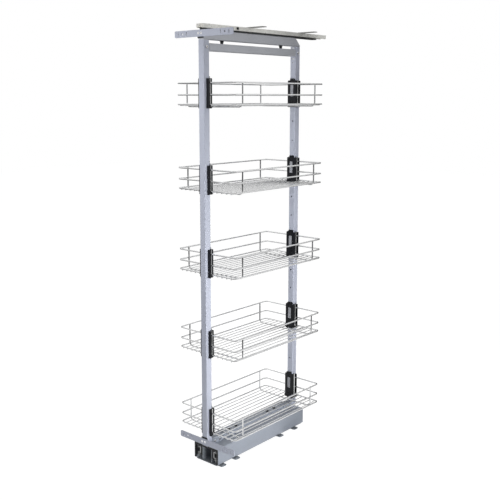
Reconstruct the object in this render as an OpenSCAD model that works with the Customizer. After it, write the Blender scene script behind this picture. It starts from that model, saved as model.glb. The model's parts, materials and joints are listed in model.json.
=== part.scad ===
// Pull-out pantry frame for a tall cabinet: a two-post frame on a ball-slide base, guided by a
// ceiling rail, with wire baskets hung on clip brackets. Millimetres.
// +X is to the right seen from the door, +Y goes into the cabinet, +Z is up.
// The origin is the middle of the base plate's underside.

/* [Frame] */
// Outside width of the square tube
tube_w = 25; // [22:0.5:30]
// Wall of the square tube
tube_t = 1.5; // [1:0.1:2]
// Outside corner radius of the tube
tube_r = 2.5; // [2.1:0.1:4]
// Depth over the two posts
frame_d = 503; // [440:1:560]
// Height of the top beam's upper face above the floor
frame_h = 1468; // [1400:1:1900]
// Height of the top beam
beam_h = 29.5; // [24:0.5:36]
// Upright height left inside the top beam's rear end, below its slanted cut
beam_end_in = 1; // [0.9:0.1:18]
// Open height between the crossbar and the top beam
head_gap = 11; // [8:0.5:30]
// Height of the crossbar
crossbar_h = 24.5; // [20:0.5:30]
// Length of the head's spigots inside the posts
spigot_l = 100; // [60:1:160]
// Gap between a post's upper end and the top beam
post_end_gap = 1; // [0.5:0.5:4]
// Length of the slots in the posts' inner faces, below and above the crossbar
post_slot_l = 12.5; // [8:0.5:16]
// Width of the slots in the posts' inner faces
post_slot_w = 4; // [3:0.5:5]
// Distance of the lower slot's middle below the crossbar
post_slot_drop = 8; // [6:0.5:20]
// Thread diameter of the screws that clamp the head
lock_d = 6; // [4:0.5:8]
// Head diameter of the clamping screws
lock_head_d = 10; // [9:0.5:14]
// Head height of the clamping screws
lock_head_h = 4; // [2:0.5:6]

/* [Base] */
// Width of the base plate between its ears
plate_w = 96; // [84:1:104]
// Thickness of the base plate
plate_t = 2; // [1.5:0.1:3]
// Distance of an ear's tip from the middle line
ear_reach = 68; // [66:0.5:80]
// Distance of an ear's screw hole from the ear's tip
ear_hole_in = 7; // [5:0.5:9]
// Length of an ear along the base
ear_l = 26; // [16:1:34]
// Corner radius of an ear
ear_r = 6; // [2:0.5:7]
// Screw hole in an ear
ear_hole_d = 5; // [3:0.1:6]
// Distances of the front ears from the base plate's front end
ear_front = [18.5, 90.5]; // [14:0.5:200]
// Distances of the rear ears from the base plate's rear end
ear_rear = [146.5, 58.5]; // [14:0.5:200]
// Width over the two uprights of the base plate
upright_w = 44; // [36:1:50]
// Height of the uprights above the floor
upright_h = 52; // [48:1:54]
// Width of the carriage cover
cover_w = 109; // [106:0.5:112]
// Distance of the carriage cover's ends from the posts' outer faces
cover_set = 9; // [4:0.5:14]
// Height of the carriage cover
cover_h = 58; // [56:0.5:70]
// Height of the cover's lower edge above the floor
cover_lift = 6; // [4:0.5:10]
// Sheet thickness of the carriage cover
cover_t = 1.5; // [1:0.1:2]
// Bend radius of the carriage cover
cover_r = 4; // [2.5:0.5:6]
// Width of the front trim's side bands
trim_side = 5; // [4:0.5:10]
// Height of the front trim's upper band
trim_top = 9; // [5:0.5:12]
// Thickness of the front trim ahead of the cover
trim_t = 4; // [2:0.5:6]
// Depth of the front trim's lip inside the cover
trim_lip = 2; // [1:0.1:2.3]
// Width of the bottom beam
sill_w = 22; // [18:1:30]
// Height of the bottom beam
sill_h = 20; // [16:1:24]
// Distances of the bottom beam's bolts from its ends
sill_bolt_in = [137.5, 98.5]; // [84:0.5:180]
// Thread diameter of the bottom beam's bolts
sill_bolt_d = 6; // [4:0.5:8]
// Head diameter of the bottom beam's bolts and nuts
sill_bolt_head_d = 10.8; // [9.5:0.1:13]
// Head height of the bottom beam's bolts
sill_bolt_head_h = 3.6; // [2:0.1:5]
// Height of the nuts on the bottom beam's bolts
sill_nut_h = 4.2; // [3:0.1:6]
// Length of the adjusting slots in the bottom beam
sill_slot_l = 14; // [8:1:20]
// Width of the adjusting slots in the bottom beam
sill_slot_w = 5; // [3:0.5:8]
// Distance of the first adjusting slot from the beam's front end
sill_slot_in = 66; // [64:1:72]
// Length of a shoe along the bottom beam
shoe_l = 52; // [46:1:56]
// Sheet thickness of a shoe
shoe_t = 2; // [1.5:0.1:3]
// Distances of a shoe's two bolts from the post
shoe_bolt_y = [13, 37]; // [10:1:40]
// Thread diameter of the shoe bolts
shoe_bolt_d = 5; // [4:0.5:6]
// Head diameter of the shoe bolts
shoe_bolt_head_d = 9; // [7.5:0.1:11]
// Head height of the shoe bolts
shoe_bolt_head_h = 3; // [2:0.1:4]

/* [Slides] */
// Distance of the slide members' ends from the cover's ends
rail_set = 2.5; // [2.5:0.5:10]
// Height of the outer slide member
rail_h = 46; // [45:0.5:48]
// Sheet thickness of the slide members
rail_t = 1.5; // [1.2:0.1:1.7]
// Flange depth of the slide members
rail_d = 13; // [12.5:0.5:14]
// Gap between the webs of nested members
web_gap = 2.5; // [2:0.1:3]
// Ball diameter
ball_d = 3.9; // [3.5:0.1:4]
// Clearance above and below a ball
ball_gap = 0.3; // [0.2:0.05:0.4]
// Reach of the slide spacers past the fixed members, above and below
spacer_over = 7; // [3:0.5:10]
// Length of a ball cage
cage_l = 240; // [200:1:240]
// Width of a ball cage
cage_w = 6; // [5:0.5:6.5]
// Thickness of a ball cage
cage_t = 1.2; // [0.8:0.1:1.6]
// Balls in one cage strip
cage_balls = 8; // [4:1:12]
// Places of the slide rivets along the base
rivet_y = [-180, 0, 180]; // [-200:1:200]
// Shank diameter of the slide and strap rivets
rivet_d = 4; // [3:0.5:5]
// Head diameter of the slide rivets
rivet_head_d = 7; // [6:0.5:8]
// Head height of the slide and strap rivets
rivet_head_h = 1.2; // [0.8:0.1:1.3]

/* [Door bars] */
// Length of a door bar
bar_w = 255; // [220:1:290]
// Height of a door bar
bar_h = 21.5; // [18:0.5:26]
// Thickness of a door bar
bar_t = 3; // [2:0.5:4]
// Corner radius of a door bar
bar_r = 4; // [1:0.5:8]
// Sideways set of the door bars towards the right
bar_shift = 15; // [-20:1:20]
// Height of the lower door bar's lower edge
bar_low_z = 70; // [60:0.5:76]
// Distance of a door screw hole from the bar's end
bar_hole_in = 35; // [30:1:40]
// Door screw hole
bar_hole_d = 6.5; // [4:0.5:8]
// Distance of the adjusting slots from a door screw hole
bar_slot_off = 18; // [12:1:20]
// Length of an adjusting slot
bar_slot_l = 12; // [8:0.5:14]
// Width of an adjusting slot
bar_slot_w = 3.5; // [2:0.5:5]
// Thickness of the pads behind the door bars
pad_t = 3; // [2:0.5:5]
// Height of pad that shows past a door bar
pad_show = 4; // [3:0.5:9]
// Distance of the bar screws from the middle line
bar_screw_x = 6.5; // [5.5:0.5:7]
// Shank diameter of the bar screws
bar_screw_d = 4.5; // [3:0.5:5]
// Head diameter of the bar screws
bar_screw_head_d = 8; // [7:0.5:9]
// Length of the bar screws
bar_screw_l = 14; // [10:1:18]

/* [Ceiling rail] */
// Width of the ceiling rail
track_w = 30; // [26:1:36]
// Height of the ceiling rail
track_h = 13; // [12.5:0.5:16]
// Wall of the ceiling rail
track_t = 1.5; // [1:0.1:1.6]
// Width of the ceiling rail's lips
track_lip = 5; // [3:0.5:6]
// Length of the ceiling rail
track_l = 665; // [640:1:720]
// How far the ceiling rail reaches ahead of the front post
track_front = 5; // [0:0.5:8]
// Gap between the runner bar and the ceiling rail
track_gap = 1; // [0.5:0.1:2]
// Width of a ceiling strap
strap_w = 150; // [120:1:200]
// Depth of a ceiling strap
strap_d = 25; // [20:1:40]
// Thickness of a ceiling strap
strap_t = 2; // [1.5:0.1:3]
// Corner radius of a ceiling strap
strap_r = 6.25; // [2:0.25:9]
// Distance of the front strap's middle from the ceiling rail's front end
front_strap_in = 233; // [180:1:300]
// Distance of the rear strap's middle from the ceiling rail's rear end
rear_strap_in = 146; // [40:1:160]
// Distance of a strap's screw holes from its ends
strap_hole_in = 10; // [7:0.5:20]
// Screw hole in a strap
strap_hole_d = 5; // [3:0.5:6]
// Distance of the strap rivets from the middle line
strap_rivet_x = 8; // [7.6:0.1:8.5]
// Head diameter of the strap rivets
strap_rivet_head_d = 6; // [5.5:0.1:6.5]
// Length of the end plugs in the ceiling rail
plug_l = 10; // [6:1:14]
// Length of the catch on the ceiling rail's side
catch_l = 8; // [5:1:12]
// Thickness of the catch
catch_t = 3; // [2:0.5:4]
// Height of the catch
catch_h = 8; // [5:0.5:10]
// Place of the catch behind the front post's front face
catch_y = 158; // [100:1:200]
// Width of the runner bar on the top beam
runner_w = 20; // [14:1:24]
// Thickness of the runner bar
runner_t = 5; // [4.5:0.5:8]
// Distance of the runner bar's rear end from the ceiling rail's rear end
runner_rear = 54; // [30:1:70]
// Distance of the runner bar's front end behind the front post's front face
runner_front = 5; // [2:1:20]
// Distance of the runner bolts from the frame's middle
runner_bolt_y = 154; // [120:1:180]
// Thread diameter of the runner bolts
runner_bolt_d = 6; // [4:0.5:8]
// Head diameter of the runner bolts
runner_head_d = 10.8; // [9.5:0.1:13]
// Head height of the runner bolts
runner_head_h = 3; // [2:0.1:4]
// Gap between the conical nuts under the top beam and the crossbar
cone_gap = 1; // [0.5:0.5:4]
// Diameter of a conical nut at its tip
cone_tip_d = 9; // [8.5:0.5:12]
// Diameter of a conical nut at the beam
cone_foot_d = 14; // [12:0.5:18]
// Distance of the rear guide roller from the runner bar's rear end
roller_in = 16; // [14:1:20]
// Distance between the two guide rollers
roller_span = 100; // [60:1:110]
// Side clearance of a guide roller in the ceiling rail
roller_gap = 0.4; // [0.3:0.05:0.6]
// Height of a guide roller
roller_h = 7; // [6:0.1:7.2]
// Bevel of a guide roller's edges
roller_edge = 0.8; // [0.3:0.1:1.5]
// How far the guide rollers run below the rail's middle height
roller_drop = 0.4; // [0.1:0.1:0.5]
// Journal diameter of a roller pin
pin_d = 5; // [4:0.1:5.5]
// Radial clearance of a guide roller on its pin
pin_gap = 0.05; // [0.02:0.01:0.09]
// Diameter of a roller pin's shoulder
pin_shoulder_d = 9; // [7:0.5:10]
// Diameter of a roller pin's head
pin_head_d = 8; // [7:0.1:8]

/* [Baskets] */
// Baskets, and bracket pairs, on the frame
shelf_count = 5; // [1:1:5]
// Width of a basket between the middles of its rim wires
basket_w = 258; // [246:1:262]
// Diameter of the rim wire
wire_d = 5; // [4:0.1:6]
// Diameter of the floor wire
floor_wire_d = 3; // [2:0.1:4]
// Height of the middle rim above the floor rim
rim_mid = 31.7; // [24:0.1:40]
// Height of the top rim above the floor rim
rim_top = 69.7; // [60:0.1:76]
// Corner radius of the rims
rim_r = 12; // [8:1:20]
// Distance of the basket's upright wires from its ends
stay_in = 43; // [34:1:60]
// Bend radius at the foot of the upright wires
stay_r = 14; // [12:1:18]
// Floor wires in a basket
floor_wires = 12; // [8:2:12]
// Spacing of the floor wires
floor_step = 20.6; // [18:0.1:21]
// Depth that crossing wires are pressed into each other by the weld
weld_sink = 0.6; // [0.4:0.1:1]
// Height of a basket's legs above the brackets' bodies
leg_rise = 1; // [0:0.5:6]
// Gap between the middle floor wires and the brackets that they face
wire_gap = 1.5; // [0.5:0.1:3]

/* [Brackets] */
// Height of the lowest basket's floor rim above the floor
first_floor = 113.6; // [110:0.1:130]
// Distance between the holes in the posts
hole_pitch = 70; // [64:1:70]
// Height of a bracket's lower screw above the basket's floor rim
hole_rise = 7; // [6:0.5:10]
// Least distance of the uppermost post hole below the crossbar
hole_margin = 10; // [6:0.5:30]
// Hole in the posts for the bracket screws
post_hole_d = 5; // [4:0.1:6]
// Thickness of a bracket's body on the post's inner face
body_t = 5.5; // [4.8:0.1:8]
// Reach of a bracket's body below the floor rim
bracket_drop = 12; // [9:0.5:16]
// Height of a bracket's body above its upper screw
screw_over = 7; // [6:0.5:15]
// Corner radius of a bracket
bracket_r = 2; // [1:0.1:3]
// Thickness of a bracket's cheeks along the post's sides
cheek_t = 2.4; // [1.5:0.1:4]
// Distance of the cheeks' upper ends below the body's upper end
cheek_in = 1; // [0.5:0.5:8]
// Reach of a bracket's body past its cheeks
flange_over = 3.5; // [2:0.5:5]
// Reach of the body's edges along the post's sides
flange_in = 2; // [1.5:0.1:3]
// Thickness of the fins that close the leg channels on the outside
fin_t = 2.7; // [2:0.1:4]
// Reach of the fins past the cheeks
fin_over = 8.5; // [7:0.5:10]
// Reach of the feet past the basket's legs
foot_over = 1; // [0.5:0.5:2]
// Height that the feet's undersides rise towards the basket
foot_rise = 4.5; // [2:0.5:6]
// Width of the tab above a bracket's body
tab_w = 20; // [14:1:26]
// Thickness of the tab above a bracket's body
tab_t = 3.5; // [2:0.1:4.5]
// Height of the tab above a bracket's body
tab_rise = 7; // [3:0.5:10]
// Gap between a basket's leg or rim and the walls of its channel
leg_gap = 0.6; // [0.4:0.1:1]
// Gap between a basket's leg and the foot below it
seat_gap = 0.4; // [0.3:0.05:0.5]
// Width of the light strip in a bracket
insert_w = 13; // [8:0.5:16]
// Thickness of the light strip in a bracket
insert_t = 1.3; // [1:0.1:2]
// Distance of the light strip's lower end above the lower screw
insert_low = 20; // [7:0.5:24]
// Distance of the light strip's upper end below the upper screw
insert_high = 8; // [6:0.5:16]
// Head diameter of the bracket screws
screw_head_d = 8; // [7:0.1:9]
// Head height of the bracket screws
screw_head_h = 2.5; // [2:0.1:3]
// Depth of the bracket screws' heads below the bracket's face
screw_sink = 0.5; // [0.2:0.1:0.9]
// Reach of the bracket screws past the post's wall
screw_reach = 3; // [2:0.5:6]

/* [Hidden] */
$fn = 48;
// Small clearance between pieces that are pushed or screwed together
fit_gap = 0.1;
// Extra length of a cutting shape past the face that it cuts
cut = 1;
// Side clearance of a screw head or plug in its recess
recess_gap = 2 * fit_gap;
// Least inside radius of a bend
least_r = 1;
front_y = -frame_d / 2;
post_in = frame_d / 2 - tube_w;
cover_top = cover_lift + cover_h;
cover_d = frame_d - 2 * cover_set;
rail_l = cover_d - 2 * rail_set;
ear_y = concat([for (y = ear_front) y - cover_d / 2], [for (y = ear_rear) cover_d / 2 - y]);
ear_hole_x = ear_reach - ear_hole_in;
beam_z = frame_h - beam_h;
beam_chamfer = beam_h - tube_t - beam_end_in;
cone_h = head_gap - cone_gap;
crossbar_z = beam_z - head_gap - crossbar_h;
post_top = beam_z - post_end_gap;
lock_z = crossbar_z + crossbar_h / 2;
sill_top = cover_top + sill_h;
bar_high_z = frame_h - bar_h;
bar_front_y = front_y - pad_t - bar_t;
bar_screw_head_h = (bar_screw_head_d - bar_screw_d) / 2;
slide_z = cover_lift + cover_h / 2;
// Half heights of the faces of the nested slide members, from the outside in
ball_room = ball_d + 2 * ball_gap;
cover_rail_in = rail_h / 2 - rail_t;
mid_rail_out = cover_rail_in - ball_room;
mid_rail_in = mid_rail_out - rail_t;
base_rail_out = mid_rail_in - ball_room;
// Web faces of the nested slide members, on the right side
cover_in = cover_w / 2 - cover_t;
mid_rail_x = cover_in - rail_t - web_gap;
base_rail_x = mid_rail_x - rail_t - web_gap - rail_d;
spacer_t = base_rail_x - upright_w / 2;
spacer_h = 2 * (base_rail_out + spacer_over);
outer_ball_x = (cover_in - rail_d + mid_rail_x - rail_t) / 2;
inner_ball_x = (mid_rail_x - rail_d + base_rail_x + rail_d) / 2;
outer_ball_z = (cover_rail_in + mid_rail_out) / 2;
inner_ball_z = (mid_rail_in + base_rail_out) / 2;
// Ceiling rail and guide rollers
runner_z = frame_h + runner_t;
track_z = runner_z + track_gap;
track_top = track_z + track_h;
track_y = front_y - track_front;
strap_y = [track_y + front_strap_in, track_y + track_l - rear_strap_in];
strap_hole_x = strap_w / 2 - strap_hole_in;
track_room = track_w - 2 * track_t;
roller_d = track_room - 2 * roller_gap;
roller_z = track_z + (track_h - roller_h) / 2 - roller_drop;
// Clearance above and below a guide roller
roller_rest = 0.2;
runner_y = front_y + runner_front;
runner_end = track_y + track_l - runner_rear;
rear_roller_y = runner_end - roller_in;
front_roller_y = rear_roller_y - roller_span;
// Baskets and brackets; u is measured from a post's inner face towards the basket
cheek_x = tube_w / 2 + fit_gap;
bracket_w = 2 * (cheek_x + cheek_t);
bracket_rise = hole_rise + hole_pitch + screw_over;
flange_w = bracket_w + 2 * flange_over;
// The baskets are spread as far apart as the holes below the head's spigots allow
shelf_room = post_top - spigot_l - first_floor - bracket_rise;
shelf_holes = floor(shelf_room / hole_pitch / max(shelf_count - 1, 1));
shelf_pitch = shelf_holes * hole_pitch;
weld_pitch = wire_d - weld_sink;
// The legs and the rims' ends stand beside the posts, in the channels of the brackets
leg_u = -flange_in - leg_gap - wire_d / 2;
rim_u = leg_u - weld_pitch;
fin_u = rim_u - wire_d / 2 - leg_gap;
leg_x = bracket_w / 2 + leg_gap + wire_d / 2;
fin_x = bracket_w / 2 + fin_over;
foot_x = leg_x + wire_d / 2 + foot_over;
seat_z = -wire_d / 2 - seat_gap;
leg_top = bracket_rise + leg_rise;
basket_d = 2 * (post_in - rim_u);
floor_wire_z = -(wire_d + floor_wire_d) / 2 + weld_sink;
stay_z = 2 * floor_wire_z;
insert_z = [hole_rise + insert_low, hole_rise + hole_pitch - insert_high];
screw_d = post_hole_d - 2 * fit_gap;
screw_head_u = body_t - screw_head_h - screw_sink;
first_hole_z = first_floor + hole_rise;
post_holes = floor((crossbar_z - hole_margin - first_hole_z) / hole_pitch) + 1;

function floor_z(i) = first_floor + shelf_pitch * (shelf_count - i);

// Half length of the floor wire at x: one that faces the brackets ends short of them
function floor_wire_half(x) =
    x - floor_wire_d / 2 < fin_x + wire_gap
        ? post_in - body_t - wire_gap
        : (basket_d + floor_wire_d) / 2;

FIXED = [
    "base_plate", "slide_spacers", "left_base_rail", "right_base_rail", "base_rail_rivets",
    "ceiling_rail", "front_ceiling_strap", "rear_ceiling_strap", "strap_rivets", "rail_stops"
];
SLIDING = ["left_mid_rail", "right_mid_rail", "outer_ball_cages", "inner_ball_cages"];
CARRIAGE = [
    "carriage_cover", "front_trim", "left_cover_rail", "right_cover_rail", "cover_rail_rivets",
    "bottom_beam", "beam_bolts", "front_shoe", "rear_shoe", "shoe_bolts"
];
UPPER = [
    "front_post", "rear_post", "crossbar", "lock_screws", "front_spigot", "rear_spigot", "top_beam",
    "top_runner", "runner_bolts", "cone_nuts", "roller_pins", "front_guide_roller",
    "rear_guide_roller", "upper_door_bar", "lower_door_bar", "bar_pads", "bar_screws",
    "bracket_inserts", "bracket_screws"
];
SHELVES = [for (kind = ["front_bracket_", "rear_bracket_", "basket_"], i = [1 : shelf_count]) str(kind, i)];

// Shared shapes

module rounded_rect(w, h, r) {
    square([w - 2 * r, h], center = true);
    square([w, h - 2 * r], center = true);
    for (x = [-1, 1], y = [-1, 1])
        translate([x * (w / 2 - r), y * (h / 2 - r)])
            circle(r);
}

module slot_2d(l, w) {
    square([l - w, w], center = true);
    for (x = [-1, 1])
        translate([x * (l - w) / 2, 0])
            circle(d = w);
}

module tube_2d(w, h, t, r) {
    difference() {
        rounded_rect(w, h, r);
        rounded_rect(w - 2 * t, h - 2 * t, r - t);
    }
}

// Extrudes a drawing of X and Z along Y, from y to y + l
module along_y(y, l) {
    translate([0, y + l, 0])
        rotate([90, 0, 0])
            linear_extrude(l)
                children();
}

// Extrudes a drawing of Y and Z along X, from x to x + l
module along_x(x, l) {
    translate([x, 0, 0])
        rotate([90, 0, 90])
            linear_extrude(l)
                children();
}

// Extrudes a drawing of X and Y upwards from z
module up(z, l) {
    translate([0, 0, z])
        linear_extrude(l)
            children();
}

module pin_x(x, y, z, l, d) {
    translate([x, y, z])
        rotate([0, 90, 0])
            cylinder(h = l, d = d);
}

module pin_y(x, y, z, l, d) {
    translate([x, y, z])
        rotate([-90, 0, 0])
            cylinder(h = l, d = d);
}

module pin_z(x, y, z, l, d) {
    translate([x, y, z])
        cylinder(h = l, d = d);
}

// Turns a shape that is built at the front post into its twin at the rear post
module at_end(rear) {
    mirror([0, rear ? 1 : 0, 0])
        children();
}

module at_side(right) {
    mirror([right ? 0 : 1, 0, 0])
        children();
}

// Base plate and slides

module base_plate() {
    color("lightslategray")
        difference() {
            union() {
                translate([-plate_w / 2, -cover_d / 2, 0])
                    cube([plate_w, cover_d, plate_t]);
                for (y = ear_y)
                    up(0, plate_t)
                        translate([0, y])
                            rounded_rect(2 * ear_reach, ear_l, ear_r);
                for (x = [-upright_w / 2, upright_w / 2 - plate_t])
                    translate([x, -rail_l / 2, 0])
                        cube([plate_t, rail_l, upright_h]);
            }
            for (x = [-1, 1], y = ear_y)
                pin_z(x * ear_hole_x, y, -cut, plate_t + 2 * cut, ear_hole_d);
            for (y = rivet_y)
                pin_x(-upright_w / 2 - cut, y, slide_z, upright_w + 2 * cut, rivet_d);
        }
}

module slide_spacers() {
    color("dimgray")
        for (right = [false, true])
            at_side(right)
                difference() {
                    translate([upright_w / 2, -rail_l / 2, slide_z - spacer_h / 2])
                        cube([spacer_t, rail_l, spacer_h]);
                    for (y = rivet_y)
                        pin_x(upright_w / 2 - cut, y, slide_z, spacer_t + 2 * cut, rivet_d);
                }
}

// Channel section with its web's outer face at x, opening towards -X
module channel_2d(x, half_h) {
    difference() {
        translate([x - rail_d, -half_h])
            square([rail_d, 2 * half_h]);
        translate([x - rail_d - cut, -half_h + rail_t])
            square([rail_d - rail_t + cut, 2 * (half_h - rail_t)]);
    }
}

module slide_member(right, x, half_h) {
    color("silver")
        at_side(right)
            difference() {
                along_y(-rail_l / 2, rail_l)
                    translate([0, slide_z])
                        channel_2d(x, half_h);
                children();
            }
}

module rail_rivet_holes(x) {
    for (y = rivet_y)
        pin_x(x - rail_t - cut, y, slide_z, rail_t + 2 * cut, rivet_d);
}

module cover_rail(right) {
    slide_member(right, cover_in, rail_h / 2)
        rail_rivet_holes(cover_in);
}

module mid_rail(right) {
    slide_member(right, mid_rail_x, mid_rail_out);
}

// The fixed member is the channel turned round, so that it opens outwards
module base_rail(right) {
    color("silver")
        at_side(right)
            difference() {
                along_y(-rail_l / 2, rail_l)
                    translate([base_rail_x, slide_z])
                        mirror([1, 0])
                            channel_2d(0, base_rail_out);
                rail_rivet_holes(base_rail_x + rail_t);
            }
}

module base_rail_rivets() {
    color("gainsboro")
        for (right = [false, true], y = rivet_y)
            at_side(right) {
                inner = upright_w / 2 - plate_t;
                outer = base_rail_x + rail_t;
                pin_x(inner, y, slide_z, outer - inner, rivet_d);
                pin_x(outer, y, slide_z, rivet_head_h, rivet_head_d);
                pin_x(inner - rivet_head_h, y, slide_z, rivet_head_h, rivet_head_d);
            }
}

module cover_rail_rivets() {
    color("gainsboro")
        for (right = [false, true], y = rivet_y)
            at_side(right) {
                inner = cover_in - rail_t;
                pin_x(inner, y, slide_z, rail_t + cover_t, rivet_d);
                pin_x(inner - rivet_head_h, y, slide_z, rivet_head_h, rivet_head_d);
            }
}

// Strips of balls above and below the middle member
module ball_cages(x, z) {
    step = cage_l / cage_balls;
    color("darkgray")
        for (right = [false, true], side = [-1, 1])
            at_side(right) {
                strip_z = slide_z + side * z;
                difference() {
                    translate([x - cage_w / 2, -cage_l / 2, strip_z - cage_t / 2])
                        cube([cage_w, cage_l, cage_t]);
                    for (i = [0 : cage_balls - 1])
                        pin_z(
                            x, (i + 0.5) * step - cage_l / 2, strip_z - cage_t,
                            2 * cage_t, ball_d + 2 * fit_gap
                        );
                }
                for (i = [0 : cage_balls - 1])
                    translate([x, (i + 0.5) * step - cage_l / 2, strip_z])
                        sphere(d = ball_d);
            }
}

module outer_ball_cages() {
    ball_cages(outer_ball_x, outer_ball_z);
}

module inner_ball_cages() {
    ball_cages(inner_ball_x, inner_ball_z);
}

// Carriage

// Inverted U of the given width and height, standing on z = 0
module arch_2d(w, h, r) {
    translate([-w / 2, 0])
        square([w, h - r]);
    translate([-w / 2 + r, 0])
        square([w - 2 * r, h]);
    for (x = [-1, 1])
        translate([x * (w / 2 - r), h - r])
            circle(r);
}

module open_arch_2d(w, h, r, side, top) {
    difference() {
        arch_2d(w, h, r);
        translate([0, -cut])
            arch_2d(w - 2 * side, h - top + cut, max(r - min(side, top), least_r));
    }
}

module sill_bolt_places() {
    for (side = [-1, 1], y = sill_bolt_in)
        translate([0, side * (post_in - y), 0])
            children();
}

module carriage_cover() {
    color("slategray")
        difference() {
            along_y(-cover_d / 2, cover_d)
                translate([0, cover_lift])
                    open_arch_2d(cover_w, cover_h, cover_r, cover_t, cover_t);
            sill_bolt_places()
                pin_z(0, 0, cover_top - cover_t - cut, cover_t + 2 * cut, sill_bolt_d + 2 * fit_gap);
            for (y = rivet_y)
                pin_x(-cover_w / 2 - cut, y, slide_z, cover_w + 2 * cut, rivet_d);
        }
}

module front_trim() {
    lip_w = cover_w - 2 * cover_t - 2 * fit_gap;
    lip_h = cover_h - cover_t - fit_gap;
    color("black") {
        along_y(-cover_d / 2 - trim_t, trim_t)
            translate([0, cover_lift])
                open_arch_2d(cover_w, cover_h, cover_r, trim_side, trim_top);
        along_y(-cover_d / 2, trim_lip)
            translate([0, cover_lift])
                open_arch_2d(
                    lip_w, lip_h, cover_r - cover_t,
                    trim_side - cover_t - fit_gap, trim_top - cover_t - fit_gap
                );
    }
}

module bottom_beam() {
    slot_y = -post_in + sill_slot_in;
    color("slategray")
        difference() {
            along_y(-post_in, 2 * post_in)
                translate([0, cover_top + sill_h / 2])
                    tube_2d(sill_w, sill_h, tube_t, tube_r);
            sill_bolt_places()
                pin_z(0, 0, cover_top - cut, sill_h + 2 * cut, sill_bolt_d + 2 * fit_gap);
            for (rear = [false, true], y = shoe_bolt_y)
                at_end(rear)
                    pin_x(
                        -sill_w / 2 - cut, y - post_in, cover_top + sill_h / 2,
                        sill_w + 2 * cut, shoe_bolt_d + 2 * fit_gap
                    );
            up(sill_top - tube_t - cut, tube_t + 2 * cut)
                translate([0, slot_y])
                    rotate(90)
                        slot_2d(sill_slot_l, sill_slot_w);
        }
}

module beam_bolts() {
    nut_z = cover_top - cover_t - sill_nut_h;
    color("black")
        sill_bolt_places() {
            pin_z(0, 0, nut_z - cut, sill_top - nut_z + cut, sill_bolt_d);
            pin_z(0, 0, sill_top, sill_bolt_head_h, sill_bolt_head_d);
            translate([0, 0, nut_z])
                cylinder(h = sill_nut_h, d = sill_bolt_head_d, $fn = 6);
        }
}

module shoe(rear) {
    outer_w = sill_w + 2 * fit_gap + 2 * shoe_t;
    color("slategray")
        at_end(rear)
            difference() {
                along_y(-post_in, shoe_l)
                    translate([0, cover_top + fit_gap])
                        open_arch_2d(outer_w, sill_h + shoe_t, shoe_t, shoe_t, shoe_t);
                for (y = shoe_bolt_y)
                    pin_x(
                        -outer_w / 2 - cut, y - post_in, cover_top + sill_h / 2,
                        outer_w + 2 * cut, shoe_bolt_d + 2 * fit_gap
                    );
            }
}

module shoe_bolts() {
    half_w = sill_w / 2 + fit_gap + shoe_t;
    bolt_z = cover_top + sill_h / 2;
    color("gainsboro")
        for (rear = [false, true], y = shoe_bolt_y)
            at_end(rear) {
                pin_x(-half_w, y - post_in, bolt_z, 2 * half_w, shoe_bolt_d);
                for (x = [half_w, -half_w - shoe_bolt_head_h])
                    pin_x(x, y - post_in, bolt_z, shoe_bolt_head_h, shoe_bolt_head_d);
            }
}

// Posts and head

module post(rear) {
    wall_y = -post_in - tube_t - cut;
    wall_l = tube_t + 2 * cut;
    color("lightsteelblue")
        difference() {
            up(cover_top, post_top - cover_top)
                translate([0, (rear ? 1 : -1) * (post_in + tube_w / 2)])
                    tube_2d(tube_w, tube_w, tube_t, tube_r);
            at_end(rear) {
                for (i = [0 : post_holes - 1])
                    pin_y(0, wall_y, first_hole_z + i * hole_pitch, wall_l, post_hole_d);
                for (z = [crossbar_z - post_slot_drop, crossbar_z + crossbar_h + head_gap / 2])
                    along_y(wall_y, wall_l)
                        translate([0, z])
                            slot_2d(post_slot_l, post_slot_w);
                pin_x(
                    tube_w / 2 - tube_t - cut, -post_in - tube_w / 2, lock_z,
                    tube_t + 2 * cut, lock_d + 2 * fit_gap
                );
                if (!rear)
                    bar_screw_places(bar_low_z)
                        pin_y(0, -frame_d / 2 - cut, 0, tube_t + 2 * cut, bar_screw_d + 2 * fit_gap);
            }
        }
}

module crossbar() {
    color("lightsteelblue")
        along_y(-post_in, 2 * post_in)
            translate([0, crossbar_z + crossbar_h / 2])
                tube_2d(tube_w, crossbar_h, tube_t, tube_r);
}

module lock_screws() {
    spigot_half = tube_w / 2 - tube_t - fit_gap;
    color("gainsboro")
        for (rear = [false, true])
            at_end(rear) {
                pin_x(spigot_half, -post_in - tube_w / 2, lock_z, tube_w / 2 - spigot_half, lock_d);
                pin_x(tube_w / 2, -post_in - tube_w / 2, lock_z, lock_head_h, lock_head_d);
            }
}

module spigot(rear) {
    spigot_w = tube_w - 2 * tube_t - 2 * fit_gap;
    spigot_r = max(tube_r - tube_t, tube_t) + fit_gap;
    color("silver")
        at_end(rear)
            up(post_top - spigot_l, beam_z - post_top + spigot_l)
                translate([0, -post_in - tube_w / 2])
                    tube_2d(spigot_w, spigot_w, tube_t, spigot_r);
}

// Side outline of the top beam, set in from its faces by t
module beam_side_2d(t) {
    slant = t * tan(45 / 2);
    polygon([
        [-frame_d / 2 + t, beam_z + t],
        [-frame_d / 2 + t, frame_h - t],
        [frame_d / 2 - beam_chamfer - slant, frame_h - t],
        [frame_d / 2 - t, frame_h - beam_chamfer - slant],
        [frame_d / 2 - t, beam_z + t]
    ]);
}

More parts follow.
